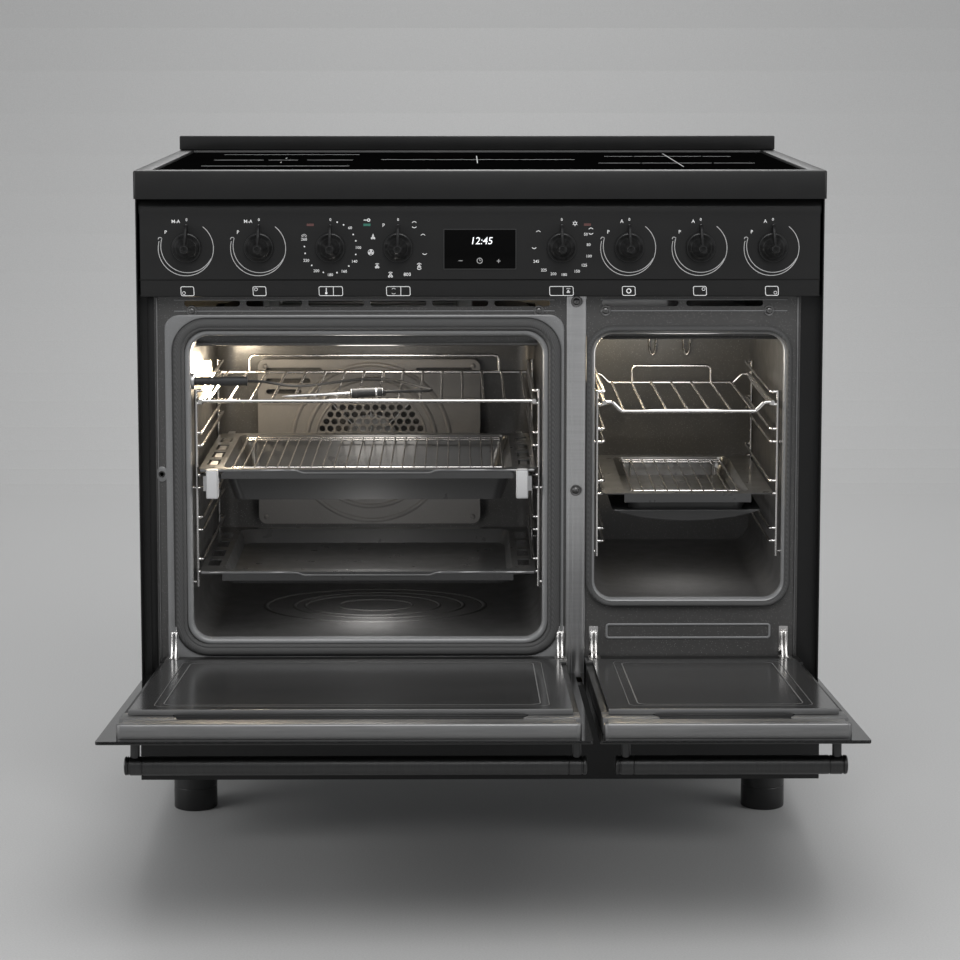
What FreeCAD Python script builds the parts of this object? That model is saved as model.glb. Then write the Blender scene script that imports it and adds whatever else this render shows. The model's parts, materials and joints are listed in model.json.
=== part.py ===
import FreeCAD, Part
import math
import os
import re
import Sketcher

# Range cooker, 90 cm wide, with an induction hob and two ovens side by side.
# X runs to the right seen from the front, Y to the back, Z up.
# The origin is the centre of the footprint, on the floor. Both doors stand open.

document = FreeCAD.newDocument("RangeCooker")

# ---------------------------------------------------------------- sizes, in mm and degrees
sizes = {
    # body
    "cooker_width": 898, "cooker_depth": 600, "panel_sheet": 1.5, "seam": 0.3, "seat": 0.2,
    "leg_height": 93, "leg_diameter": 60, "leg_collar": 66, "leg_collar_height": 14,
    "leg_half_span": 397, "leg_front_inset": 196, "leg_back_inset": 80,
    "lower_panel_height": 127, "lower_gap": 8, "upper_gap": 3,
    "control_panel_height": 109, "cove_height": 20, "cove_depth": 15,
    "panel_setback": 17, "frame_setback": 38, "side_margin": 0.5, "control_panel_margin": 4.5,
    "left_strip": 18, "right_strip": 25, "pillar_offset": 126.5, "pillar_width": 26,
    "pillar_proud": 2, "pillar_depth": 30, "base_rim": 25, "base_sheet": 2,
    # hob
    "hob_fascia_height": 37, "hob_rim": 22, "hob_back_rim": 25, "hob_ledge": 12, "hob_sheet": 2,
    "glass_recess": 3.5, "hob_glass_thickness": 4, "glass_gap": 0.5,
    "upstand_height": 21, "upstand_depth": 16,
    "coil_thickness": 6, "coil_bore": 46, "large_coil": 230, "medium_coil": 190, "small_coil": 160,
    "carrier_thickness": 2, "carrier_width": 800, "carrier_depth": 480, "carrier_slot": 40,
    "electronics_height": 42, "electronics_width": 340, "electronics_depth": 260, "electronics_spacing": 390,
    # oven cavities
    "cavity_sheet": 1.6, "cavity_depth": 420, "cavity_corner": 26,
    "main_left": -383, "main_width": 467, "main_floor": 274, "main_height": 408,
    "small_left": 150, "small_width": 252, "small_floor": 327, "small_height": 357,
    "frame_sheet": 1.5, "frame_overlap": 2, "vent_height": 9, "vent_top": 5.5,
    "seal_gap": 6, "seal_width": 15.5, "small_seal_gap": 1.5, "small_seal_width": 8, "seal_depth": 7.6,
    # fan
    "fan_offset": -7.5, "fan_height": 203, "fan_radius": 78, "fan_hub": 16, "fan_blade_count": 8,
    "fan_blade_depth": 14, "fan_blade_sheet": 1.5, "fan_shaft": 8, "fan_cover_depth": 24,
    "fan_cover_left_gap": 60, "fan_cover_right_gap": 81, "fan_cover_bottom_gap": 82,
    "fan_cover_height": 244, "fan_cover_corner": 12, "fan_disc": 82, "fan_hole": 9, "fan_hole_pitch": 12,
    "cover_slot_1": 82, "cover_slot_2": 65, "cover_slot_3": 52, "cover_slot_inset": 12,
    "cover_slot_pitch": 16, "cover_slot_height": 7,
    "motor_diameter": 76, "motor_length": 46, "motor_gap": 24, "motor_plate": 120,
    "ring_radius": 97, "element_diameter": 6.4,
    # grill and floor elements
    "grill_drop": 11, "grill_clip_reach": 5, "grill_inset": 55, "grill_bend": 22, "grill_run": 300, "floor_element_drop": 7,
    # side racks and shelves
    "wire": 4, "rack_upright": 5, "upright_wall_gap": 3, "rung_inset": 13, "rung_bend": 5,
    "upright_front_inset": 27, "upright_back_inset": 350,
    "level_base": 86, "level_pitch": 56.8, "rung_pair": 17.2, "level_count": 5,
    "small_level_1": 74, "small_level_2": 138, "small_level_3": 208, "small_level_4": 258, "shelf_wire": 6,
    "small_rung_inset": 15,
    "shelf_clearance": 0.3, "shelf_side_gap": 1.3, "shelf_depth": 300, "shelf_pitch": 28,
    "backstop_height": 24, "backstop_inset": 42, "small_backstop_inset": 55,
    "small_shelf_pitch": 28.5, "small_shelf_step": 12, "small_shelf_depth": 290,
    "tray_sheet": 1.2, "deep_tray_depth": 45, "low_tray_depth": 20, "small_tray_depth": 26,
    "tray_wall_slope": 14, "tray_rim": 30, "tray_corner": 16, "tray_length": 320, "tray_lip": 12,
    "wing_slot_length": 42, "wing_slot_width": 16, "wing_slot_count": 4,
    "grid_wire": 3, "grid_inset": 10, "grid_pitch": 15, "grid_height": 12,
    "rail_height": 20, "rail_thickness": 5, "slide_thickness": 9, "slide_height": 25,
    "slide_cap_height": 38, "slide_cap_depth": 14, "slide_cap_width": 15, "rail_length": 345,
    # doors, in the closed position
    "main_door_width": 570, "door_height": 503, "door_margin": 4.75, "door_gap": 7.5,
    "door_glass": 4, "door_thickness": 30, "hinge_height": 15, "hinge_depth": 17, "door_angle": 85,
    "main_frame_left_inset": 23, "main_frame_right_inset": 13,
    "small_frame_left_inset": 5, "small_frame_right_inset": 21, "small_door_width": 311,
    "door_side_rail": 16, "door_top_rail": 46, "door_bottom_rail": 56, "door_top_inset": 5,
    "inner_glass": 4, "inner_glass_overlap": 9, "door_vent_depth": 12, "door_vent_width": 11, "door_sheet": 1.5,
    "handle_diameter": 22, "handle_standoff": 31, "handle_drop": 39, "post_diameter": 11,
    "main_handle_left": -415, "main_handle_length": 535, "main_post_inset": 12,
    "small_handle_left": 153, "small_handle_length": 269, "small_post_inset": 12,
    # hinges
    "arm_thickness": 5, "arm_width": 14, "arm_rise": 30, "arm_reach": 26, "pin_diameter": 7, "pin_length": 13,
    "pin_clearance": 0.05, "hinge_body_length": 120, "hinge_body_sheet": 1.5, "arm_clearance": 1.4,
    "main_arm_left": -406.5, "main_arm_right": 106, "small_arm_left": 151, "small_arm_right": 404,
    # knobs and display
    "knob_height": 799, "knob_1": -382, "knob_2": -288, "knob_3": -195, "knob_4": -107,
    "knob_5": 106, "knob_6": 194, "knob_7": 287, "knob_8": 381,
    "knob_base": 38, "knob_base_depth": 7, "knob_body": 31, "knob_body_depth": 13, "knob_waist": 18,
    "knob_depth": 40, "knob_nose": 11, "knob_gap": 0.6, "pointer_reach": 30, "pointer_width": 3.4,
    "shaft_diameter": 6, "shaft_clearance": 0.05, "shaft_length": 24, "shaft_hole": 10,
    "encoder_width": 26, "encoder_depth": 16,
    "display_left": -48, "display_width": 95, "display_bottom": 770, "display_height": 53,
    "display_proud": 1, "display_glass": 2.5, "display_box_depth": 22, "display_box_inset": 4,
    # fixings and services
    "screw_head": 8, "screw_head_height": 2.6, "washer": 15, "washer_thickness": 1.2, "screw_shank": 4,
    "lamp_diameter": 52, "lamp_rise": 8, "lamp_back": 26, "lamp_height": 322, "lamp_inset": 210,
    "rotor_diameter": 58, "rotor_length": 240, "rotor_shaft": 8, "rotor_x": -150, "rotor_y": -150,
    "rotor_lift": 46, "housing_width": 280, "housing_depth": 92, "housing_sheet": 1.5, "rotor_blade_count": 16,
    "terminal_width": 110, "terminal_height": 70, "terminal_depth": 38, "terminal_x": -300,
    "terminal_z": 190, "gland_diameter": 26, "bracket_hole": 7, "bracket_spacing": 200, "bracket_z": 815,
    "gland_drop": 18,
    # temperature probe
    "socket_diameter": 18, "socket_rise": 5, "socket_y": -242, "socket_z": 618, "plug_diameter": 11,
    "plug_grip": 13, "plug_length": 36, "plug_grip_length": 34, "cord_diameter": 3.6,
    "probe_grip": 11, "probe_grip_length": 42, "probe_needle": 4, "probe_needle_length": 92,
}

sheet = document.addObject("Spreadsheet::Sheet", "Sizes")
for row, (alias, number_of_mm) in enumerate(sizes.items(), start=1):
    sheet.set(f"A{row}", alias)
    sheet.set(f"B{row}", str(number_of_mm))
    sheet.setAlias(f"B{row}", alias)
document.recompute()

parts = {}


# ---------------------------------------------------------------- building helpers
def bound(formula):
    """A formula whose words are sizes becomes one that reads their cells."""
    def cell(word):
        return "Sizes." + word.group() if word.group() in sizes else word.group()
    return re.sub(r"[a-z][a-z0-9_]*", cell, str(formula))


def number(formula):
    return float(sheet.evalExpression(bound(formula)))


def minus(a, b):
    return f"({a}) - ({b})"


def put(piece, x, y, z):
    for axis, formula in zip("xyz", (x, y, z)):
        piece.setExpression(f"Placement.Base.{axis}", bound(formula))
    return piece


def box(name, x, y, z):
    """A block between two formulas along each axis."""
    piece = document.addObject("Part::Box", name)
    for side, (low, high) in zip(("Length", "Width", "Height"), (x, y, z)):
        piece.setExpression(side, bound(minus(high, low)))
    return put(piece, x[0], y[0], z[0])


turns = {"x": FreeCAD.Rotation(FreeCAD.Vector(0, 1, 0), 90),
         "y": FreeCAD.Rotation(FreeCAD.Vector(1, 0, 0), -90),
         "z": FreeCAD.Rotation()}


def cylinder(name, axis, diameter, centre, span):
    """A round bar along one axis: centre holds the other two coordinates, in order."""
    piece = document.addObject("Part::Cylinder", name)
    piece.Placement = FreeCAD.Placement(FreeCAD.Vector(), turns[axis])
    piece.setExpression("Radius", bound(f"({diameter}) / 2"))
    piece.setExpression("Height", bound(minus(span[1], span[0])))
    spots = list(centre)
    spots.insert("xyz".index(axis), span[0])
    return put(piece, *spots)


def cone(name, diameter_back, diameter_front, x, z, y_back, length):
    """A cone along -Y, from its back end at y_back."""
    piece = document.addObject("Part::Cone", name)
    piece.Placement = FreeCAD.Placement(FreeCAD.Vector(), FreeCAD.Rotation(FreeCAD.Vector(1, 0, 0), 90))
    piece.setExpression("Radius1", bound(f"({diameter_back}) / 2"))
    piece.setExpression("Radius2", bound(f"({diameter_front}) / 2"))
    piece.setExpression("Height", bound(length))
    return put(piece, x, y_back, z)


def fuse(name, pieces):
    piece = document.addObject("Part::MultiFuse", name)
    piece.Shapes = pieces
    piece.Refine = True
    return piece


def cut(name, body, tools):
    piece = document.addObject("Part::Cut", name)
    piece.Base = body
    piece.Tool = tools[0] if len(tools) == 1 else fuse(name + "Tools", tools)
    return piece


def group(name, pieces):
    piece = document.addObject("Part::Compound", name)
    piece.Links = pieces
    return piece


def rounded(name, x, y, z, radius, axis="y"):
    """A block whose four edges along one axis are rounded."""
    spans = [x, y, z]
    along = "xyz".index(axis)
    u, v = [index for index in range(3) if index != along]
    tall, wide = list(spans), list(spans)
    tall[u] = (f"({spans[u][0]}) + ({radius})", f"({spans[u][1]}) - ({radius})")
    wide[v] = (f"({spans[v][0]}) + ({radius})", f"({spans[v][1]}) - ({radius})")
    pieces = [box(name + "Tall", *tall), box(name + "Wide", *wide)]
    for u_side in tall[u]:
        for v_side in wide[v]:
            pieces.append(cylinder(name + "Corner", axis, f"2 * ({radius})", (u_side, v_side), spans[along]))
    return fuse(name, pieces)


def slot(name, x, y, z):
    """A hole along Y whose two ends are round."""
    radius = f"(({minus(z[1], z[0])}) / 2)"
    middle = f"(({z[0]} + {z[1]}) / 2)"
    pieces = [box(name + "Run", (f"{x[0]} + {radius}", f"{x[1]} - {radius}"), y, z)]
    for end in (f"{x[0]} + {radius}", f"{x[1]} - {radius}"):
        pieces.append(cylinder(name + "End", "y", f"2 * {radius}", (end, middle), y))
    return fuse(name, pieces)


def padded(name, plane, corners, start, length):
    """A body padded from an outline: plane is XY, XZ or YZ, corners are pairs of formulas."""
    body = document.addObject("PartDesign::Body", name)
    sketch = body.newObject("Sketcher::SketchObject", name + "Outline")
    for feature in body.Origin.OriginFeatures:
        if feature.Role == plane + "_Plane":
            sketch.AttachmentSupport = [(feature, "")]
    sketch.MapMode = "FlatFace"
    spots = [FreeCAD.Vector(number(u), number(v), 0) for u, v in corners]
    count = len(spots)
    for index in range(count):
        sketch.addGeometry(Part.LineSegment(spots[index], spots[(index + 1) % count]), False)
    for index in range(count):
        sketch.addConstraint(Sketcher.Constraint("Coincident", index, 2, (index + 1) % count, 1))
    for index, (u, v) in enumerate(corners):
        for kind, formula in (("DistanceX", u), ("DistanceY", v)):
            row = sketch.addConstraint(Sketcher.Constraint(kind, -1, 1, index, 1, number(formula)))
            sketch.setExpression(f"Constraints[{row}]", bound(formula))
    pad = body.newObject("PartDesign::Pad", name + "Pad")
    pad.Profile = sketch
    pad.setExpression("Length", bound(length))
    pad.Reversed = plane == "XZ"
    offset = {"XY": (0, 0, start), "XZ": (0, start, 0), "YZ": (start, 0, 0)}[plane]
    return put(body, *offset)


def bent(name, points, bend, diameter):
    """A round bar along straight runs joined by tangent arcs of one bend radius."""
    spots = [FreeCAD.Vector(*point) for point in points]
    edges = []
    begin = spots[0]
    for before, corner, after in zip(spots, spots[1:], spots[2:]):
        into = (corner - before).normalize()
        out = (after - corner).normalize()
        turn = into.getAngle(out)
        radius = bend(corner, before, after, turn) if callable(bend) else bend
        reach = radius * math.tan(turn / 2)
        start = corner - into * reach
        end = corner + out * reach
        middle = (out - into).normalize()
        top = corner + middle * (radius / math.cos(turn / 2) - radius)
        edges.append(Part.LineSegment(begin, start).toShape())
        edges.append(Part.Arc(start, top, end).toShape())
        begin = end
    edges.append(Part.LineSegment(begin, spots[-1]).toShape())
    path = Part.Wire(edges)
    section = Part.Wire(Part.Circle(spots[0], spots[1] - spots[0], diameter / 2).toShape())
    shape = path.makePipeShell([section], True, False)
    area = math.pi * diameter ** 2 / 4
    if abs(shape.Volume - area * path.Length) > 0.01 * area * path.Length:
        print("bent bar off its section times length:", name, shape.Volume, area * path.Length)
    return shape


def shaped(name, shape):
    """A piece whose shape is worked out in code from the sizes."""
    piece = document.addObject("Part::Feature", name)
    piece.Shape = shape
    return piece


def finished(label, piece):
    piece.Label = label
    parts[label] = piece
    return piece


# ---------------------------------------------------------------- levels and faces that pieces share
front = "(-cooker_depth / 2)"
back = "(cooker_depth / 2)"
half = "(cooker_width / 2)"
side_outer = "(cooker_width / 2 - side_margin)"
side_inner = "(cooker_width / 2 - side_margin - panel_sheet)"
face = "(-cooker_depth / 2 + panel_setback)"
frame_y = "(-cooker_depth / 2 + frame_setback)"
frame_back = "(-cooker_depth / 2 + frame_setback + frame_sheet)"
lower_top = "(leg_height + lower_panel_height)"
door_bottom = "(leg_height + lower_panel_height + lower_gap)"
door_top = "(leg_height + lower_panel_height + lower_gap + door_height)"
panel_bottom = "(leg_height + lower_panel_height + lower_gap + door_height + upper_gap)"
panel_top = f"({panel_bottom} + control_panel_height)"
hob_bottom = f"({panel_top} + cove_height)"
hob_top = f"({hob_bottom} + hob_fascia_height)"
glass_top = f"({hob_top} - glass_recess)"
glass_bottom = f"({hob_top} - glass_recess - hob_glass_thickness)"
main_right = "(main_left + main_width)"
small_right = "(small_left + small_width)"
main_centre = "(main_left + main_width / 2)"
small_centre = "(small_left + small_width / 2)"
main_top = "(main_floor + main_height)"
small_top = "(small_floor + small_height)"
cavity_back = f"({frame_y} + cavity_depth)"
pillar_left = "(pillar_offset - pillar_width / 2)"
pillar_right = "(pillar_offset + pillar_width / 2)"
frame_left = f"(-{side_inner} + left_strip + seam)"
frame_right = f"({side_inner} - right_strip - seam)"
frame_bottom = f"({lower_top} + frame_overlap)"
frame_top = f"({panel_bottom} - seat)"
fan_x = f"({main_centre} + fan_offset)"
fan_z = "(main_floor + fan_height)"
hinge_y = "(-cooker_depth / 2 + hinge_depth)"
hinge_z = f"({door_bottom} + hinge_height)"
slot_count = 2


def opened(piece):
    """A door piece, made closed, turned down about the hinge line."""
    centre = FreeCAD.Vector(0, number(hinge_y), number(hinge_z))
    turn = FreeCAD.Rotation(FreeCAD.Vector(1, 0, 0), number("door_angle"))
    piece.Placement = FreeCAD.Placement(FreeCAD.Vector(), turn, centre)
    return piece


# ---------------------------------------------------------------- body panels
def side_panel(name, sign, strip):
    """A side sheet with its return strip, which closes the front beside the ovens."""
    outline = [(side_outer, face), (side_outer, back), (side_inner, back), (side_inner, frame_back),
               (f"{side_inner} - {strip}", frame_back), (f"{side_inner} - {strip}", frame_y),
               (side_inner, frame_y), (side_inner, face)]
    corners = [(f"({sign}) * ({x})", y) for x, y in outline]
    return padded(name, "XY", corners, "leg_height", minus(hob_bottom, "leg_height"))


def body_panels():
    sides = [side_panel("SideLeft", -1, "left_strip"), side_panel("SideRight", 1, "right_strip")]
    finished("side_panels", group("SidePanels", sides))

    inside = f"({side_inner} - seat)"
    base = box("BaseOuter", (f"-{inside}", inside), (face, f"{back} - panel_sheet - seat"),
               ("leg_height", "leg_height + base_rim"))
    hollow = box("BaseHollow", (f"-{inside} + base_sheet", f"{inside} - base_sheet"),
                 (f"{face} + base_sheet", f"{back} - panel_sheet - seat - base_sheet"),
                 ("leg_height + base_sheet", "leg_height + base_rim + 1"))
    notches = [box("BaseNotch", (x0, x1), (f"{frame_y} - seam", f"{frame_back} + seam"),
                   ("leg_height - 1", "leg_height + base_rim + 1"))
               for x0, x1 in ((f"-{side_inner}", f"-{side_inner} + left_strip + seam"),
                              (f"{side_inner} - right_strip - seam", side_inner))]
    finished("base_pan", cut("BasePan", base, [hollow] + notches))

    plate = box("BackPlate", (f"-{inside}", inside), (f"{back} - panel_sheet", back),
                ("leg_height", f"{hob_bottom} - seat"))
    tools = [cylinder("GlandHole", "y", "gland_diameter", ("terminal_x", "terminal_z - gland_drop"),
                      (f"{back} - panel_sheet - 1", f"{back} + 1"))]
    for side in (-1, 1):
        tools.append(cylinder("BracketHole", "y", "bracket_hole", (f"{side} * bracket_spacing / 2", "bracket_z"),
                              (f"{back} - panel_sheet - 1", f"{back} + 1")))
    for row in range(4):
        for column in (-1, 1):
            low = f"bracket_z - 90 - {row} * 26"
            tools.append(box("BackVent", (f"{column} * 200 - 90", f"{column} * 200 + 90"),
                             (f"{back} - panel_sheet - 1", f"{back} + 1"), (low, f"{low} + 8")))
    finished("back_panel", cut("BackPanel", plate, tools))

    fold = f"({face} - {front})"
    corners = [(front, "leg_height"), (face, "leg_height"), (face, "leg_height + panel_sheet"),
               (f"{front} + panel_sheet", "leg_height + panel_sheet"),
               (f"{front} + panel_sheet", f"{lower_top} - panel_sheet"),
               (face, f"{lower_top} - panel_sheet"), (face, lower_top), (front, lower_top)]
    web = padded("LowerFold", "YZ", corners, f"-{half}", "cooker_width")
    ends = [box("LowerEnd", (x, f"{x} + panel_sheet"), (f"{front} + panel_sheet / 2", face),
                ("leg_height + panel_sheet / 2", f"{lower_top} - panel_sheet / 2"))
            for x in (f"-{half}", f"{half} - panel_sheet")]
    finished("lower_front_panel", fuse("LowerFrontPanel", [web] + ends))

    legs = []
    for x in ("-leg_half_span", "leg_half_span"):
        for y in (f"{front} + leg_front_inset", f"{back} - leg_back_inset"):
            post = cylinder("LegPost", "z", "leg_diameter", (x, y), ("0", "leg_height"))
            collar = cylinder("LegCollar", "z", "leg_collar", (x, y), ("leg_height - leg_collar_height", "leg_height"))
            legs.append(fuse("Leg", [post, collar]))
    finished("feet", group("Feet", legs))

    proud = f"({frame_y} - pillar_proud)"
    outer = box("PillarOuter", (pillar_left, pillar_right), (proud, f"{proud} + pillar_depth"),
                (frame_bottom, frame_top))
    hollow = box("PillarHollow", (f"{pillar_left} + panel_sheet", f"{pillar_right} - panel_sheet"),
                 (f"{proud} + panel_sheet", f"{proud} + pillar_depth + 1"),
                 (f"{frame_bottom} - 1", f"{frame_top} + 1"))
    finished("centre_pillar", cut("CentrePillar", outer, [hollow]))


# ---------------------------------------------------------------- hob
def hob():
    outer = box("HobOuter", (f"-{half}", half), (front, back), (hob_bottom, hob_top))
    glass_x = (f"-{half} + hob_rim", f"{half} - hob_rim")
    glass_y = (f"{front} + hob_rim", f"{back} - hob_back_rim")
    pocket = box("GlassPocket", glass_x, glass_y, (glass_bottom, f"{hob_top} + 1"))
    window = box("GlassWindow", (f"{glass_x[0]} + hob_ledge", f"{glass_x[1]} - hob_ledge"),
                 (f"{glass_y[0]} + hob_ledge", f"{glass_y[1]} - hob_ledge"), (f"{hob_bottom} - 1", f"{hob_top}"))
    under = box("HobUnder", (f"-{half} + hob_sheet", f"{half} - hob_sheet"),
                (f"{front} + hob_sheet", f"{back} - hob_sheet"), (f"{hob_bottom} - 1", f"{glass_bottom} - hob_sheet"))
    finished("hob_frame", cut("HobFrame", outer, [pocket, window, under]))

    pane = rounded("GlassPane", (f"{glass_x[0]} + glass_gap", f"{glass_x[1]} - glass_gap"),
                   (f"{glass_y[0]} + glass_gap", f"{glass_y[1]} - glass_gap"), (glass_bottom, glass_top), "2", "z")
    finished("hob_glass", pane)

    strip = box("UpstandOuter", (f"-{half}", half), (f"{back} - upstand_depth", back),
                (hob_top, f"{hob_top} + upstand_height"))
    hollow = box("UpstandHollow", (f"-{half} + panel_sheet", f"{half} - panel_sheet"),
                 (f"{back} - upstand_depth + panel_sheet", f"{back} - panel_sheet"),
                 (f"{hob_top} - 1", f"{hob_top} + upstand_height - panel_sheet"))
    finished("upstand", cut("Upstand", strip, [hollow]))

    coil_top = f"({glass_bottom} - seat)"
    coil_bottom = f"({coil_top} - coil_thickness)"
    zones = [("medium_coil", -290, -120), ("medium_coil", -290, 90), ("large_coil", 0, -10),
             ("small_coil", 270, -130), ("medium_coil", 290, 90)]
    coils = []
    for diameter, x, y in zones:
        disc = cylinder("CoilDisc", "z", diameter, (x, y), (coil_bottom, coil_top))
        bore = cylinder("CoilBore", "z", "coil_bore", (x, y), (f"{coil_bottom} - 1", f"{coil_top} + 1"))
        coils.append(cut("Coil", disc, [bore]))
    carrier_bottom = f"({coil_bottom} - carrier_thickness)"
    tray = box("Carrier", ("-carrier_width / 2", "carrier_width / 2"), ("-carrier_depth / 2", "carrier_depth / 2"),
               (carrier_bottom, coil_bottom))
    for side in (-1, 1):
        middle = f"{side} * electronics_spacing / 2"
        coils.append(box("PowerUnit", (f"{middle} - electronics_width / 2", f"{middle} + electronics_width / 2"),
                         ("-electronics_depth / 2", "electronics_depth / 2"),
                         (f"{carrier_bottom} - electronics_height", carrier_bottom)))
    finished("induction_unit", fuse("InductionUnit", coils + [tray]))


# ---------------------------------------------------------------- oven cavities
def vents(name, left, right, count, gap):
    """A row of slots just under the top edge of an oven's front frame."""
    tools = []
    for index in range(count):
        step = f"(({right}) - ({left}) + {gap}) / {count}"
        low = f"({left}) + {index} * {step}"
        tools.append(slot(f"{name}Vent", (low, f"{low} + {step} - {gap}"), (f"{frame_y} - 1", f"{frame_back} + 1"),
                          (f"{frame_top} - vent_top - vent_height", f"{frame_top} - vent_top")))
    return tools


def screw_spots():
    """Where the front frames and the pillar are screwed: X, Z and the face they sit on."""
    high = f"({frame_top} - 20)"
    return [(f"{frame_left} + 50", high, frame_y), (f"{main_right} - 7", high, frame_y),
            ("small_left + 15", high, frame_y), (f"{small_right} - 22", high, frame_y),
            ("pillar_offset", f"{frame_top} - 8", f"({frame_y} - pillar_proud)"),
            ("pillar_offset", f"{frame_top} - 259", f"({frame_y} - pillar_proud)")]


def cavity(name, label, left, right, floor, top, frame_span, arms, extra):
    """An enamelled box with a rounded opening and its flat front frame."""
    outer = rounded(name + "Shell", (f"{left} - cavity_sheet", f"{right} + cavity_sheet"),
                    (f"{frame_y} + frame_sheet / 2", f"{cavity_back} + cavity_sheet"),
                    (f"{floor} - cavity_sheet", f"{top} + cavity_sheet"), "cavity_corner + cavity_sheet")
    plate = box(name + "Plate", frame_span, (frame_y, frame_back), (frame_bottom, frame_top))
    inner = rounded(name + "Room", (left, right), (f"{frame_y} - 1", cavity_back), (floor, top), "cavity_corner")
    tools = [inner] + extra
    for x in arms:
        tools.append(box(name + "ArmSlot", (f"{x} - arm_thickness / 2 - seam", f"{x} + arm_thickness / 2 + seam"),
                         (f"{frame_y} - 1", f"{frame_back} + 1"),
                         (f"{hinge_z} + arm_rise / 2 - seam", f"{hinge_z} + arm_rise + arm_width / 2 + seam")))
    for x, z, y in screw_spots()[:4]:
        if number(frame_span[0]) < number(x) < number(frame_span[1]):
            tools.append(cylinder(name + "ScrewHole", "y", "screw_shank + 2 * seam", (x, z),
                                  (f"{frame_y} - 1", f"{frame_back} + 1")))
    finished(label, cut(name, fuse(name + "Body", [outer, plate]), tools))


def ovens():
    main_extra = vents("Main", f"{frame_left} + 40", f"{main_right} + 8", 6, 8)
    main_extra.append(cylinder("MotorHole", "y", "fan_shaft + 2 * seam", (fan_x, fan_z),
                               (f"{cavity_back} - 1", f"{cavity_back} + cavity_sheet + 1")))
    main_extra.append(cylinder("MainLampHole", "x", "lamp_diameter + 2 * seam",
                               (f"{frame_y} + lamp_inset", "main_floor + lamp_height"),
                               ("main_left - cavity_sheet - 1", "main_left + 1")))
    main_extra.append(cylinder("SocketHole", "x", "socket_diameter + 2 * seam", ("socket_y", "socket_z"),
                               ("main_left - cavity_sheet - 1", "main_left + 1")))
    back_holes = shaped("ElementHoles", Part.makeCompound(element_holes()))
    main_extra.append(back_holes)
    small_extra = [back_holes] + vents("Small", "small_left + 10", f"{small_right} - 30", 2, 10)
    small_extra.append(cylinder("SmallLampHole", "x", "lamp_diameter + 2 * seam",
                                (f"{frame_y} + lamp_inset", f"{small_top} - 60"),
                                ("small_left - cavity_sheet - 1", "small_left + 1")))
    cavity("Main", "main_cavity", "main_left", main_right, "main_floor", main_top,
           (frame_left, f"{pillar_left} - seam"), ("main_arm_left", "main_arm_right"), main_extra)
    cavity("Small", "small_cavity", "small_left", small_right, "small_floor", small_top,
           (f"{pillar_right} + seam", frame_right), ("small_arm_left", "small_arm_right"), small_extra)

    rings = []
    for name, left, right, floor, top, gap, width in (
            ("Main", "main_left", main_right, "main_floor", main_top, "seal_gap", "seal_width"),
            ("Small", "small_left", small_right, "small_floor", small_top, "small_seal_gap", "small_seal_width")):
        span = (f"{frame_y} - seal_depth", frame_y)
        outer = rounded(name + "SealOuter", (f"{left} - {gap} - {width}", f"{right} + {gap} + {width}"), span,
                        (f"{floor} - {gap} - {width}", f"{top} + {gap} + {width}"),
                        f"cavity_corner + {gap} + {width}")
        inner = rounded(name + "SealInner", (f"{left} - {gap}", f"{right} + {gap}"),
                        (f"{span[0]} - 1", f"{span[1]} + 1"), (f"{floor} - {gap}", f"{top} + {gap}"),
                        f"cavity_corner + {gap}")
        rings.append(cut(name + "Seal", outer, [inner]))
    finished("door_seals", group("DoorSeals", rings))


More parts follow.
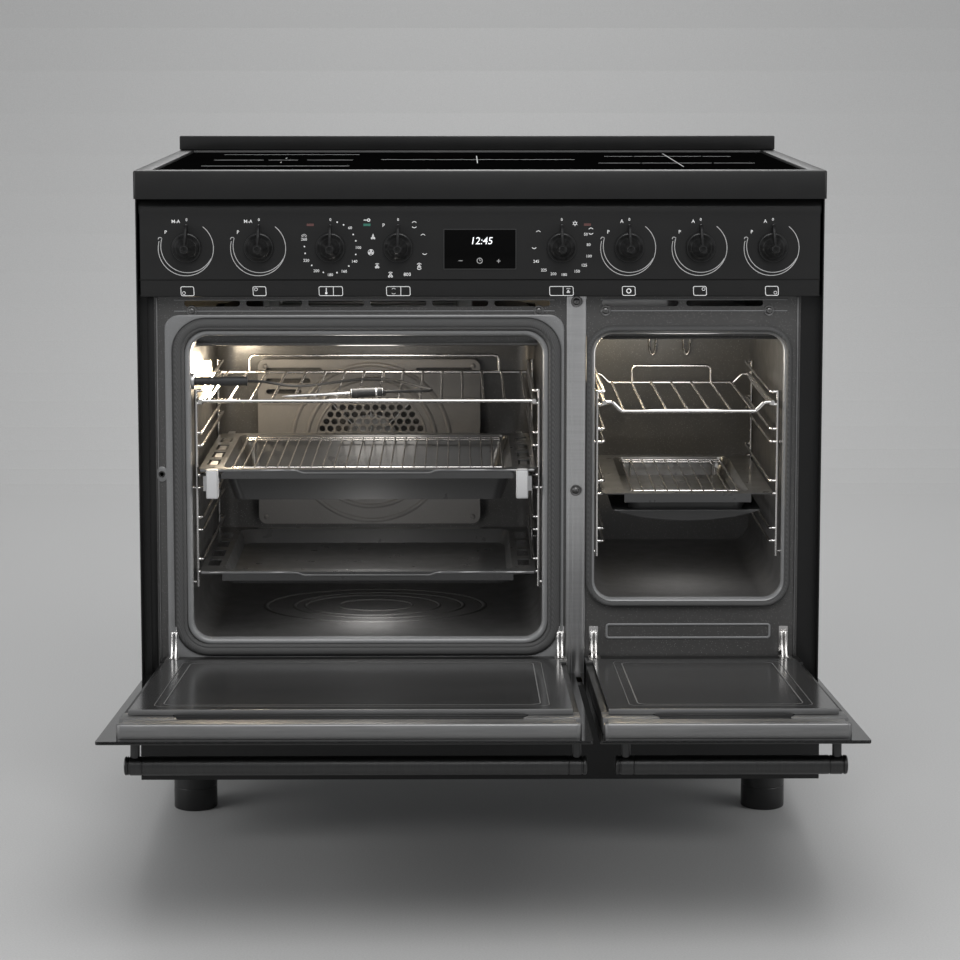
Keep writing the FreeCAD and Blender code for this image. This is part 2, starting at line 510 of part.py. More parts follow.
# ---------------------------------------------------------------- main oven fan
def oven_fan():
    left = "(main_left + fan_cover_left_gap)"
    right = f"({main_right} - fan_cover_right_gap)"
    floor = "(main_floor + fan_cover_bottom_gap)"
    top = f"({floor} + fan_cover_height)"
    cover_y = f"({cavity_back} - fan_cover_depth)"
    outer = rounded("CoverOuter", (left, right), (cover_y, cavity_back), (floor, top), "fan_cover_corner")
    hollow = rounded("CoverHollow", (f"{left} + cavity_sheet", f"{right} - cavity_sheet"),
                     (f"{cover_y} + cavity_sheet", f"{cavity_back} + 1"),
                     (f"{floor} + cavity_sheet", f"{top} - cavity_sheet"), "fan_cover_corner - cavity_sheet")
    tools = [hollow]
    reach = number("fan_disc - fan_hole / 2")
    pitch = number("fan_hole_pitch")
    row_height = pitch * math.sin(math.pi / 3)
    rows = int(reach // row_height)
    holes = []
    for row in range(-rows, rows + 1):
        up = row * row_height
        offset = pitch / 2 * (row % 2)
        for step in range(-rows - 1, rows + 2):
            across = step * pitch + offset
            if math.hypot(across, up) > reach:
                continue
            spot = FreeCAD.Vector(number(fan_x) + across, number(cover_y) - 1, number(fan_z) + up)
            holes.append(Part.makeCylinder(number("fan_hole") / 2, number("cavity_sheet") + 2, spot,
                                           FreeCAD.Vector(0, 1, 0)))
    tools.append(shaped("FanHoles", Part.makeCompound(holes)))
    through = (f"{cover_y} - 1", f"{cover_y} + cavity_sheet + 1")
    for row, length in enumerate(("cover_slot_1", "cover_slot_2", "cover_slot_3")):
        high = f"({top} - cover_slot_inset - {row} * cover_slot_pitch)"
        span = (f"{high} - cover_slot_height", high)
        tools.append(slot("CoverSlot", (f"{left} + cover_slot_inset", f"{left} + cover_slot_inset + {length}"),
                          through, span))
        if row == 0:
            tools.append(slot("CoverSlot", (f"{right} - cover_slot_inset - {length}", f"{right} - cover_slot_inset"),
                              through, span))
    finished("fan_cover", cut("FanCover", outer, tools))

    blade_y = (f"({cavity_back} - fan_blade_depth - 5)", f"({cavity_back} - 5)")
    hub = cylinder("FanHub", "y", "fan_hub", (fan_x, fan_z), blade_y)
    disc = cylinder("FanDisc", "y", "fan_radius", (fan_x, fan_z), (f"{blade_y[1]} - fan_blade_sheet", blade_y[1]))
    wheel = [hub.Name, disc.Name]
    pieces = [hub, disc]
    for index in range(int(number("fan_blade_count"))):
        blade = box("FanBladeSheet", ("0", "fan_radius - fan_hub / 4"), ("0", "fan_blade_depth"),
                    ("-fan_blade_sheet / 2", "fan_blade_sheet / 2"))
        turn = 2 * math.pi * index / number("fan_blade_count")
        shift = f"fan_hub / 4 * {math.cos(turn):.6f}"
        lift = f"fan_hub / 4 * {math.sin(turn):.6f}"
        blade.Placement = FreeCAD.Placement(FreeCAD.Vector(),
                                            FreeCAD.Rotation(FreeCAD.Vector(0, 1, 0), -math.degrees(turn)))
        put(blade, f"{fan_x} + {shift}", blade_y[0], f"{fan_z} + {lift}")
        pieces.append(blade)
    blades = fuse("FanWheel", pieces)
    bore = cylinder("FanBore", "y", "fan_shaft + 0.1", (fan_x, fan_z), (f"{blade_y[0]} - 1", f"{blade_y[1]} + 1"))
    finished("fan_blade", cut("FanBlade", blades, [bore]))

    outside = f"({cavity_back} + cavity_sheet)"
    shaft = cylinder("MotorShaft", "y", "fan_shaft", (fan_x, fan_z), (f"{blade_y[0]} - 1", f"{outside} + motor_gap"))
    case = cylinder("MotorCase", "y", "motor_diameter", (fan_x, fan_z),
                    (f"{outside} + motor_gap", f"{outside} + motor_gap + motor_length"))
    plate = box("MotorPlate", (f"{fan_x} - motor_plate / 2", f"{fan_x} + motor_plate / 2"),
                (f"{outside} + motor_gap - 2", f"{outside} + motor_gap"), (f"{fan_z} - 12", f"{fan_z} + 12"))
    feet = [box("MotorFoot", (f"{fan_x} + {side} * motor_plate / 2 - 3", f"{fan_x} + {side} * motor_plate / 2 + 3"),
                (f"{outside} + seat", f"{outside} + motor_gap"), (f"{fan_z} - 12", f"{fan_z} + 12"))
            for side in (-1, 1)]
    finished("fan_motor", fuse("FanMotor", [shaft, case, plate] + feet))


# ---------------------------------------------------------------- heating elements and lamps
def serpentine(x0, x1, y0, y1, z, runs):
    """Corner points of a tube that goes back and forth along Y."""
    points = []
    for index in range(runs):
        x = x0 + (x1 - x0) * index / (runs - 1)
        ends = (y1, y0) if index % 2 == 0 else (y0, y1)
        points += [(x, ends[0], z), (x, ends[1], z)]
    return points


def elements():
    diameter = number("element_diameter")
    out = number(f"{cavity_back} + cavity_sheet + 12")
    y0 = number(f"{frame_y} + grill_inset")
    y1 = number(f"{cavity_back} - grill_inset")

    def grill(left, right, top, runs, low):
        points = serpentine(number(left) + low, number(right) - low, y0, y1, number(top) - number("grill_drop"), runs)
        points[0] = (points[0][0], out, points[0][2])
        points[-1] = (points[-1][0], out, points[-1][2])
        width = abs(points[2][0] - points[0][0])
        return bent("Grill", points, min(number("grill_bend"), width / 2 - 0.5), diameter)

    def hooks(shape_points, top):
        clips = []
        for x, y in shape_points:
            z = number(top) - number("grill_drop")
            clips.append(Part.makeBox(8, 2, number("grill_drop + grill_clip_reach"),
                                      FreeCAD.Vector(x - 4, y, z - number("grill_clip_reach"))))
        return clips

    main_grill = grill("main_left", main_right, main_top, 6, 60)
    small_grill = grill("small_left", small_right, small_top, 4, 45)

    radius = number("ring_radius")
    ring_y = number(f"{cavity_back} - fan_cover_depth / 2")
    centre = FreeCAD.Vector(number(fan_x), ring_y, number(fan_z))
    ring = Part.makeTorus(radius, diameter / 2, centre, FreeCAD.Vector(0, 1, 0))
    stud = Part.makeCylinder(diameter / 2, out - ring_y, centre + FreeCAD.Vector(0, 0, -radius),
                             FreeCAD.Vector(0, 1, 0))
    ring = ring.fuse(stud)

    def floor_element(left, right, floor, runs, inset):
        z = number(floor) - number("cavity_sheet + floor_element_drop")
        points = serpentine(number(left) + inset, number(right) - inset, y0, y1, z, runs)
        width = abs(points[2][0] - points[0][0])
        return bent("FloorElement", points, min(number("grill_bend"), width / 2 - 0.5), diameter)

    def floor_clips(left, right, floor, inset):
        z = number(floor) - number("cavity_sheet")
        drop = number("floor_element_drop") - diameter / 2
        return [Part.makeBox(10, 10, drop + 0.8, FreeCAD.Vector(x - 5, (y0 + y1) / 2, z - 0.2 - drop - 0.8))
                for x in (number(left) + inset, number(right) - inset)]

    low_main = floor_element("main_left", main_right, "main_floor", 6, 60)
    low_main = low_main.fuse(floor_clips("main_left", main_right, "main_floor", 60))
    low_small = floor_element("small_left", small_right, "small_floor", 4, 40)
    low_small = low_small.fuse(floor_clips("small_left", small_right, "small_floor", 40))
    clips = hooks([(number("small_left") + 100, number(cavity_back) - 90),
                   (number("small_left") + 148, number(cavity_back) - 90)], small_top)
    finished("main_oven_elements", shaped("MainElements", Part.makeCompound([main_grill, ring, low_main])))
    finished("small_oven_elements", shaped("SmallElements",
                                           Part.makeCompound([small_grill, low_small] + clips)))


def element_holes():
    """The holes in the oven backs that the element ends pass through."""
    width = number("element_diameter") + 2 * number("seam")
    y = number(cavity_back) - 1
    spots = []
    for left, right, top, inset in (("main_left", main_right, main_top, 60),
                                    ("small_left", small_right, small_top, 45)):
        z = number(top) - number("grill_drop")
        spots += [(number(left) + inset, z), (number(right) - inset, z)]
    spots.append((number(fan_x), number(fan_z) - number("ring_radius")))
    return [Part.makeCylinder(width / 2, number("cavity_sheet") + 2, FreeCAD.Vector(x, y, z),
                              FreeCAD.Vector(0, 1, 0)) for x, z in spots]


def lamps():
    pieces = []
    for name, wall, height in (("Main", "main_left", "main_floor + lamp_height"),
                               ("Small", "small_left", f"{small_top} - 60")):
        spot = (f"{frame_y} + lamp_inset", height)
        lens = cylinder(name + "Lens", "x", "lamp_diameter", spot, (f"{wall} - lamp_back", f"{wall} + lamp_rise"))
        collar = cylinder(name + "Holder", "x", "lamp_diameter + 10", spot,
                          (f"{wall} - lamp_back", f"{wall} - cavity_sheet - seat"))
        pieces.append(fuse(name + "Lamp", [lens, collar]))
    finished("oven_lamps", group("OvenLamps", pieces))


# ---------------------------------------------------------------- side racks and shelves
class Oven:
    """The numbers that the furniture of one oven shares."""

    def __init__(self, left, right, inset, levels):
        self.left = number(left)
        self.right = number(right)
        self.front = number(frame_y)
        self.near = self.front + number("upright_front_inset")
        self.far = self.front + number("upright_back_inset")
        self.inset = number(inset)
        self.levels = levels

    def edges(self):
        """The two walls, each with the direction that leads into the oven."""
        return ((self.left, 1), (self.right, -1))

    def rung_x(self, wall, inward):
        return wall + inward * self.inset

    def shelf_span(self):
        """How far a shelf reaches sideways: past the middle of each rung."""
        over = number("shelf_side_gap + wire / 2")
        return self.left + self.inset - over, self.right - self.inset + over

    def shelf_z(self, level):
        """The height of whatever lies on the lower rung of a level."""
        return self.levels[level] + number("wire / 2 + shelf_clearance")


def bar(start, end, diameter):
    begin = FreeCAD.Vector(*start)
    run = FreeCAD.Vector(*end) - begin
    return Part.makeCylinder(diameter / 2, run.Length, begin, run)


def welded(shapes):
    return shapes[0].multiFuse(shapes[1:])


def ladder(oven, wall, inward):
    """One wire side rack: two uprights, a pair of rungs for each shelf, and pegs in the wall."""
    wire = number("wire")
    upright = number("rack_upright")
    x = wall + inward * (number("upright_wall_gap") + upright / 2)
    low = oven.levels[0] - 20
    high = oven.levels[-1] + number("rung_pair + wire / 2")
    shapes = []
    for y in (oven.near, oven.far):
        shapes.append(bar((x, y, low), (x, y, high), upright))
        for z in (low + 6, oven.levels[2]):
            shapes.append(bar((x, y, z), (wall + inward * number("seat"), y, z), upright - 1))
    for level in oven.levels:
        for z in (level, level + number("rung_pair")):
            inner = oven.rung_x(wall, inward)
            shapes.append(bent("Rung", [(x, oven.near, z), (inner, oven.near, z), (inner, oven.far, z),
                                        (x, oven.far, z)], number("rung_bend"), wire))
    return welded(shapes)


def wire_shelf(oven, level, depth, pitch, step, stop_height, stop_inset):
    """A flat wire shelf; with a step its middle hangs lower than the ends that rest on the rungs."""
    wire = number("shelf_wire")
    left, right = oven.shelf_span()
    left, right = left + wire / 2, right - wire / 2
    z = oven.shelf_z(level) + wire / 2
    near = oven.near - number("upright_front_inset") + 12
    far = near + depth
    low = z - step
    shapes = []
    shoulder = 16
    for y in (near, far):
        if step:
            points = [(left, y, z), (left + shoulder - 6, y, z), (left + shoulder + 6, y, low),
                      (right - shoulder - 6, y, low), (right - shoulder + 6, y, z), (right, y, z)]
            shapes.append(bent("ShelfBar", points, 6, wire - 1))
        else:
            shapes.append(bar((left, y, z), (right, y, z), wire - 1))
    for x in (left, right):
        shapes.append(bar((x, near - wire / 2, z), (x, far + wire / 2, z), wire))
    inner_left, inner_right = (left + shoulder, right - shoulder) if step else (left, right)
    count = int((inner_right - inner_left) // pitch)
    margin = (inner_right - inner_left - count * pitch) / 2
    first = 0 if step or margin > 8 else 1
    for index in range(first, count + 1 - first):
        x = inner_left + margin + index * pitch
        shapes.append(bar((x, near - 2, low), (x, far + 2, low), wire - 2))
    top = low + stop_height
    points = [(left + stop_inset, far, low), (left + stop_inset, far, top), (right - stop_inset, far, top),
              (right - stop_inset, far, low)]
    shapes.append(bent("Backstop", points, 7, wire - 1.5))
    return welded(shapes)


def outline(x0, x1, y0, y1, z, corner):
    """A rounded rectangle at one height."""
    block = Part.makeBox(x1 - x0, y1 - y0, 1, FreeCAD.Vector(x0, y0, z))
    block = block.makeFillet(corner, [edge for edge in block.Edges if abs(edge.tangentAt(0).z) > 0.9])
    bottom = min(block.Faces, key=lambda side: side.CenterOfMass.z)
    return bottom.OuterWire


def tub(x0, x1, y0, y1, top, depth):
    """A sheet tub whose walls slope in towards its floor."""
    thick = number("tray_sheet")
    slope = number("tray_wall_slope") * depth / number("deep_tray_depth")
    corner = number("tray_corner")
    outer = Part.makeLoft([outline(x0, x1, y0, y1, top, corner),
                           outline(x0 + slope, x1 - slope, y0 + slope, y1 - slope, top - depth, corner)], True, True)
    inner = Part.makeLoft([outline(x0 + thick, x1 - thick, y0 + thick, y1 - thick, top + 0.01, corner - thick),
                           outline(x0 + slope + thick, x1 - slope - thick, y0 + slope + thick,
                                   y1 - slope - thick, top - depth + thick, corner - thick)], True, True)
    return outer, inner


def tray(oven, top, left, right, depth, slots):
    """A baking tray: a flat rim around a tub, with a lip turned down along the front edge."""
    thick = number("tray_sheet")
    rim = number("tray_rim")
    near = oven.front + 9
    far = near + number("tray_length")
    plate = Part.makeBox(right - left, far - near, thick, FreeCAD.Vector(left, near, top - thick))
    plate = plate.makeFillet(number("tray_corner") / 2, [edge for edge in plate.Edges
                                                         if abs(edge.tangentAt(0).z) > 0.9])
    outer, inner = tub(left + rim, right - rim, near + rim / 2, far - rim / 2, top, depth)
    lip = Part.makeBox(right - left - 2 * rim, thick, number("tray_lip"),
                       FreeCAD.Vector(left + rim, near, top - number("tray_lip")))
    shape = plate.multiFuse([outer, lip]).cut(inner)
    length = number("wing_slot_length")
    width = number("wing_slot_width")
    if slots:
        count = int(number("wing_slot_count"))
        pitch = (far - near - 2 * rim) / count
        for index in range(count):
            y = near + rim + (index + 0.5) * pitch - length / 2
            for x in (left + (rim - width) / 2, right - (rim + width) / 2):
                shape = shape.cut(Part.makeBox(width, length, 4 * thick, FreeCAD.Vector(x, y, top - 2 * thick)))
    return shape.removeSplitter()


def tray_grid(oven, top, left, right, depth):
    """A wire grid that stands in a tray on four feet."""
    wire = number("grid_wire")
    edge = number("tray_rim + grid_inset + tray_sheet")
    left, right = left + edge, right - edge
    near = oven.front + 9 + number("tray_rim") / 2 + number("grid_inset") + number("tray_sheet")
    far = near + number("tray_length") - number("tray_rim") - 2 * number("grid_inset + tray_sheet")
    level = top - wire
    slope = number("tray_wall_slope")
    shapes = [bar((left, y, level), (right, y, level), wire) for y in (near, far)]
    shapes += [bar((x, near - 2, level), (x, far + 2, level), wire + 0.4) for x in (left + 2, right - 2)]
    count = int((right - left) // number("grid_pitch"))
    for index in range(1, count):
        x = left + (right - left) * index / count
        shapes.append(bar((x, near, level), (x, far, level), wire - 0.8))
    floor = top - depth + number("tray_sheet + shelf_clearance")
    for x in (left + slope, right - slope):
        for y in (near + slope, far - slope):
            shapes.append(bar((x, y, level), (x, y, floor), wire))
    for y in (near + slope, far - slope):
        shapes.append(bar((left, y, level - 0.6), (right, y, level - 0.6), wire - 0.5))
    return welded(shapes)


def shelves():
    main_levels = [number("main_floor + level_base") + index * number("level_pitch")
                   for index in range(int(number("level_count")))]
    small_levels = [number("small_floor") + number(name) for name in
                    ("small_level_1", "small_level_2", "small_level_3", "small_level_4")]
    main = Oven("main_left", main_right, "rung_inset", main_levels)
    small = Oven("small_left", small_right, "small_rung_inset", small_levels)
    for label, oven in (("main_side_racks", main), ("small_side_racks", small)):
        racks = [ladder(oven, wall, inward) for wall, inward in oven.edges()]
        finished(label, shaped(label.title().replace("_", ""), Part.makeCompound(racks)))

    shelf = wire_shelf(main, 4, number("shelf_depth"), number("shelf_pitch"), 0,
                       number("backstop_height"), number("backstop_inset"))
    finished("main_wire_rack", shaped("MainWireRack", shelf))
    shelf = wire_shelf(small, 3, number("small_shelf_depth"), number("small_shelf_pitch"),
                       number("small_shelf_step"), number("backstop_height"), number("small_backstop_inset"))
    finished("small_wire_rack", shaped("SmallWireRack", shelf))

    left, right = main.shelf_span()
    thick = number("tray_sheet")
    top = main.shelf_z(0) + thick
    finished("low_tray", shaped("LowTray", tray(main, top, left, right, number("low_tray_depth"), True)))

    rail_z = main.levels[2] - number("wire") / 2
    rails = []
    slides = []
    slide_top = 0
    for wall, inward in main.edges():
        x = main.rung_x(wall, inward) + inward * number("wire / 2 + seam")
        thickness = number("rail_thickness")
        span = sorted((x, x + inward * thickness))
        rails.append(Part.makeBox(thickness, number("rail_length"), number("rail_height"),
                                  FreeCAD.Vector(span[0], main.front + 14, rail_z)))
        start = x + inward * (thickness + number("seam"))
        width = number("slide_thickness")
        low = rail_z + 3
        span = sorted((start, start + inward * width))
        slide = Part.makeBox(width, number("rail_length"), number("slide_height"),
                             FreeCAD.Vector(span[0], main.front + 14, low))
        cap_width = number("slide_cap_width")
        span = sorted((start, start + inward * cap_width))
        cap = Part.makeBox(cap_width, number("slide_cap_depth"), number("slide_cap_height"),
                           FreeCAD.Vector(span[0], main.front + 14 - number("slide_cap_depth"), rail_z - 8))
        slides.append(slide.fuse(cap))
        slide_top = low + number("slide_height")
    finished("runner_rails", shaped("RunnerRails", Part.makeCompound(rails)))
    finished("runner_slides", shaped("RunnerSlides", Part.makeCompound(slides)))

    top = slide_top + thick + number("seat")
    deep = tray(main, top, left, right, number("deep_tray_depth"), True)
    cap_room = number("slide_cap_width + slide_thickness") + number("rail_thickness") + 4
    for x in (left - 1, right + 1 - cap_room):
        deep = deep.cut(Part.makeBox(cap_room, 9 + 14, 10, FreeCAD.Vector(x, main.front - 4, top - 5)))
    finished("deep_tray", shaped("DeepTray", deep))
    finished("deep_tray_grid", shaped("DeepTrayGrid", tray_grid(main, top, left, right, number("deep_tray_depth"))))

    left, right = small.shelf_span()
    top = small.shelf_z(1) + thick
    finished("small_tray", shaped("SmallTray", tray(small, top, left, right, number("small_tray_depth"), False)))
    finished("small_tray_grid", shaped("SmallTrayGrid",
                                       tray_grid(small, top, left, right, number("small_tray_depth"))))


# ---------------------------------------------------------------- doors
def door(name, label, left, right, frame_left_inset, frame_right_inset, arms, handle_left, handle_length, post_inset):
    """One oven door, drawn shut: outer glass, frame, two inner panes, hinge bodies and handle."""
    glass_y = (front, f"{front} + door_glass")
    pane = box(name + "Pane", (left, right), glass_y, (door_bottom, door_top))
    finished(f"{label}_outer_glass", opened(group(name + "OuterGlass", [pane])))

    inner_y = f"({front} + door_thickness)"
    x0 = f"({left} + {frame_left_inset})"
    x1 = f"({right} - {frame_right_inset})"
    z0 = f"({door_bottom} + door_top_inset)"
    z1 = f"({door_top} - door_top_inset)"
    body = box(name + "Body", (x0, x1), (glass_y[1], inner_y), (z0, z1))
    window = (f"{x0} + door_side_rail", f"{x1} - door_side_rail")
    heights = (f"{z0} + door_bottom_rail", f"{z1} - door_top_rail")
    tools = [box(name + "Window", window, (f"{glass_y[1]} - 1", f"{inner_y} + 1"), heights)]
    rebate_x = (f"{window[0]} - inner_glass_overlap", f"{window[1]} + inner_glass_overlap")
    rebate_z = (f"{heights[0]} - inner_glass_overlap", f"{heights[1]} + inner_glass_overlap")
    tools.append(box(name + "Rebate", rebate_x, (f"{inner_y} - inner_glass", f"{inner_y} + 1"), rebate_z))
    for edge_x, edge_z, wall in ((window, heights, "inner_glass + door_sheet"), (rebate_x, rebate_z, "door_sheet")):
        depth = (f"{glass_y[1]} - 1", f"{inner_y} - ({wall})")
        room = box(name + "FoldRoom", (f"{x0} + door_sheet", f"{x1} - door_sheet"), depth,
                   (f"{z0} + door_sheet", f"{z1} - door_sheet"))
        keep = box(name + "FoldKeep", (f"{edge_x[0]} - door_sheet", f"{edge_x[1]} + door_sheet"),
                   (f"{depth[0]} - 1", f"{depth[1]} + 1"), (f"{edge_z[0]} - door_sheet", f"{edge_z[1]} + door_sheet"))
        tools.append(cut(name + "Fold", room, [keep]))
    vent_z = (f"{z1} - door_top_rail + inner_glass_overlap + 8", f"{z1} - door_top_rail + inner_glass_overlap + 8 + "
              "door_vent_width")
    count = 4 if label == "main_door" else 2
    for index in range(count):
        step = f"(({x1}) - ({x0}) - 80) / {count}"
        low = f"({x0}) + 40 + {index} * {step}"
        tools.append(box(name + "TopVent", (f"{low} + 6", f"{low} + {step} - 6"),
                         (f"{inner_y} - door_vent_depth", f"{inner_y} + 1"), vent_z))
    for x in arms:
        tools.append(box(name + "HingeRoom", (f"{x} - pin_length / 2 - hinge_body_sheet - seam",
                                              f"{x} + pin_length / 2 + hinge_body_sheet + seam"),
                         (f"{glass_y[1]} - 1", f"{inner_y} + 1"),
                         (f"{z0} - 1", f"{heights[0]} - inner_glass_overlap - 2")))
    frame = cut(name + "Frame", body, tools)
    finished(f"{label}_frame", opened(frame))

    gap = "glass_gap / 2"
    inner = box(name + "InnerPane", (f"{rebate_x[0]} + {gap}", f"{rebate_x[1]} - {gap}"),
                (f"{inner_y} - inner_glass", inner_y), (f"{rebate_z[0]} + {gap}", f"{rebate_z[1]} - {gap}"))
    middle = box(name + "MiddlePane", (f"{window[0]} + {gap}", f"{window[1]} - {gap}"),
                 (f"{inner_y} - 4 * inner_glass", f"{inner_y} - 3 * inner_glass"),
                 (f"{heights[0]} + {gap}", f"{heights[1]} - {gap}"))
    finished(f"{label}_inner_glass", opened(group(name + "InnerGlass", [inner, middle])))

    bar_y = f"({front} - handle_standoff)"
    bar_z = f"({door_top} - handle_drop)"
    grip = cylinder(name + "Grip", "x", "handle_diameter", (bar_y, bar_z),
                    (handle_left, f"{handle_left} + {handle_length}"))
    posts = [cylinder(name + "Post", "y", "post_diameter", (x, bar_z), (bar_y, front))
             for x in (f"{handle_left} + {post_inset}", f"{handle_left} + {handle_length} - {post_inset}")]
    finished(f"{label}_handle", opened(fuse(name + "Handle", [grip] + posts)))

    bodies = []
    room_top = f"{heights[0]} - inner_glass_overlap - 2 - seat"
    for x in arms:
        outer = box(name + "HingeOuter", (f"{x} - pin_length / 2 - hinge_body_sheet",
                                          f"{x} + pin_length / 2 + hinge_body_sheet"),
                    (f"{glass_y[1]} + seat", f"{inner_y} - 1"), (z0, room_top))
        hollow = box(name + "HingeHollow", (f"{x} - arm_thickness / 2 - arm_clearance",
                                            f"{x} + arm_thickness / 2 + arm_clearance"),
                     (f"{glass_y[1]} + hinge_body_sheet", f"{inner_y}"),
                     (f"{z0} - 1", f"{room_top} - hinge_body_sheet"))
        pin = cylinder(name + "PinHole", "x", "pin_diameter + 2 * pin_clearance", (hinge_y, hinge_z),
                       (f"{x} - pin_length", f"{x} + pin_length"))
        bodies.append(cut(name + "HingeBody", outer, [hollow, pin]))
    finished(f"{label}_hinge_bodies", opened(group(name + "HingeBodies", bodies)))


def doors():
    arms = []
    for x in ("main_arm_left", "main_arm_right", "small_arm_left", "small_arm_right"):
        reach_y = f"({frame_back} + arm_reach)"
        low = f"({hinge_z} + arm_rise - arm_width / 2)"
        high = f"({hinge_z} + arm_rise + arm_width / 2)"
        corners = [(reach_y, low), (reach_y, high), (f"{frame_y} - 3", high), (f"{hinge_y} - pin_diameter / 2", hinge_z),
                   (hinge_y, f"{hinge_z} - pin_diameter / 2 - 1"), (f"{hinge_y} + pin_diameter / 2 + 1", hinge_z),
                   (f"{frame_y} - 3", low)]
        plate = padded("HingePlate", "YZ", corners, f"{x} - arm_thickness / 2", "arm_thickness")
        pin = cylinder("HingePin", "x", "pin_diameter", (hinge_y, hinge_z), (f"{x} - pin_length / 2", f"{x} + pin_length / 2"))
        arms.append(fuse("HingeArm", [plate, pin]))
    finished("hinge_arms", group("HingeArms", arms))

    main_span = (f"-{half} + door_margin", f"-{half} + door_margin + main_door_width")
    small_span = (f"{main_span[1]} + door_gap", f"{main_span[1]} + door_gap + small_door_width")
    door("Main", "main_door", *main_span, "main_frame_left_inset", "main_frame_right_inset",
         ("main_arm_left", "main_arm_right"), "main_handle_left", "main_handle_length", "main_post_inset")
    door("Small", "small_door", *small_span, "small_frame_left_inset", "small_frame_right_inset",
         ("small_arm_left", "small_arm_right"), "small_handle_left", "small_handle_length", "small_post_inset")


# ---------------------------------------------------------------- control panel, knobs and display
def knob_names():
    return [f"knob_{index}" for index in range(1, 9)]


def control_panel():
    cove_y = f"({face} + cove_depth)"
    fold = [(face, panel_bottom), (frame_y, panel_bottom), (frame_y, f"{panel_bottom} + panel_sheet"),
            (f"{face} + panel_sheet", f"{panel_bottom} + panel_sheet"),
            (f"{face} + panel_sheet", f"{panel_top} - panel_sheet"),
            (f"{cove_y} + panel_sheet", f"{panel_top} - panel_sheet"),
            (f"{cove_y} + panel_sheet", f"{hob_bottom} - seat"), (cove_y, f"{hob_bottom} - seat"),
            (cove_y, panel_top), (face, panel_top)]
    width = "cooker_width - 2 * control_panel_margin"
    web = padded("PanelFold", "YZ", fold, f"-{half} + control_panel_margin", width)
    ends = [box("PanelEnd", (x, f"{x} + panel_sheet"), (f"{face} + panel_sheet / 2", cove_y),
                (f"{panel_bottom} + panel_sheet / 2", f"{panel_top} - panel_sheet / 2"))
            for x in (f"-{half} + control_panel_margin", f"{half} - control_panel_margin - panel_sheet")]
    span = (f"{face} - 1", f"{face} + panel_sheet + 1")
    tools = [cylinder("ShaftHole", "y", "shaft_hole", (name, "knob_height"), span) for name in knob_names()]
    tools.append(box("DisplayWindow", ("display_left - seam", "display_left + display_width + seam"), span,
                     ("display_bottom - seam", "display_bottom + display_height + seam")))
    finished("control_panel", cut("ControlPanel", fuse("PanelBody", [web] + ends), tools))

    right = "display_left + display_width"
    top = "display_bottom + display_height"
    pane = box("DisplayPane", ("display_left", right), (f"{face} - display_proud", f"{face} - display_proud + "
               "display_glass"), ("display_bottom", top))
    case = box("DisplayCase", ("display_left + display_box_inset", f"{right} - display_box_inset"),
               (f"{face} - display_proud + display_glass", f"{face} + display_box_depth"),
               ("display_bottom + display_box_inset", f"{top} - display_box_inset"))
    finished("display", fuse("Display", [pane, case]))

    encoders = []
    for name in knob_names():
        case = box("EncoderCase", (f"{name} - encoder_width / 2", f"{name} + encoder_width / 2"),
                   (f"{face} + panel_sheet + seat", f"{face} + panel_sheet + seat + encoder_depth"),
                   ("knob_height - encoder_width / 2", "knob_height + encoder_width / 2"))
        shaft = cylinder("EncoderShaft", "y", "shaft_diameter", (name, "knob_height"),
                         (f"{face} - shaft_length", f"{face} + panel_sheet + seat"))
        encoders.append(fuse("Encoder", [case, shaft]))
    finished("knob_encoders", group("KnobEncoders", encoders))


def knob(name, label):
    """A turned knob with a thin pointer fin that reaches past its rim."""
    back_y = f"({face} - knob_gap)"
    body_y = f"({back_y} - knob_base_depth)"
    waist_y = f"({body_y} - knob_body_depth)"
    nose_y = f"({back_y} - knob_depth)"
    base = cylinder("KnobBase", "y", "knob_base", (name, "knob_height"), (body_y, back_y))
    body = cone("KnobBody", "knob_body", "knob_waist", name, "knob_height", body_y, "knob_body_depth")
    nose = cylinder("KnobNose", "y", "knob_nose", (name, "knob_height"), (nose_y, waist_y))
    fin = padded("KnobFin", "YZ", [(f"{back_y} - 2", "knob_height"), (f"{back_y} - 2", "knob_height + pointer_reach - 2"),
                                   (f"{back_y} - 5", "knob_height + pointer_reach"),
                                   (f"{back_y} - 14", "knob_height + pointer_reach"),
                                   (f"{nose_y} + 2", "knob_height + knob_nose / 2 + 1"), (f"{nose_y} + 2", "knob_height")],
                 f"{name} - pointer_width / 2", "pointer_width")
    bore = cylinder("KnobBore", "y", "shaft_diameter + 2 * shaft_clearance", (name, "knob_height"),
                    (f"{face} - shaft_length - 1", f"{back_y} + 1"))
    finished(label, cut("Knob", fuse("KnobSolid", [base, body, nose, fin]), [bore]))


# ---------------------------------------------------------------- screws, cooling fan and supply
def fixings():
    screws = []
    for x, z, y in screw_spots():
        disc = cylinder("Washer", "y", "washer", (x, z), (f"{y} - washer_thickness", y))
        head = cylinder("ScrewHead", "y", "screw_head", (x, z), (f"{y} - washer_thickness - screw_head_height",
                                                                 f"{y} - washer_thickness"))
        screws.append(fuse("Screw", [disc, head]))
    finished("frame_screws", group("FrameScrews", screws))


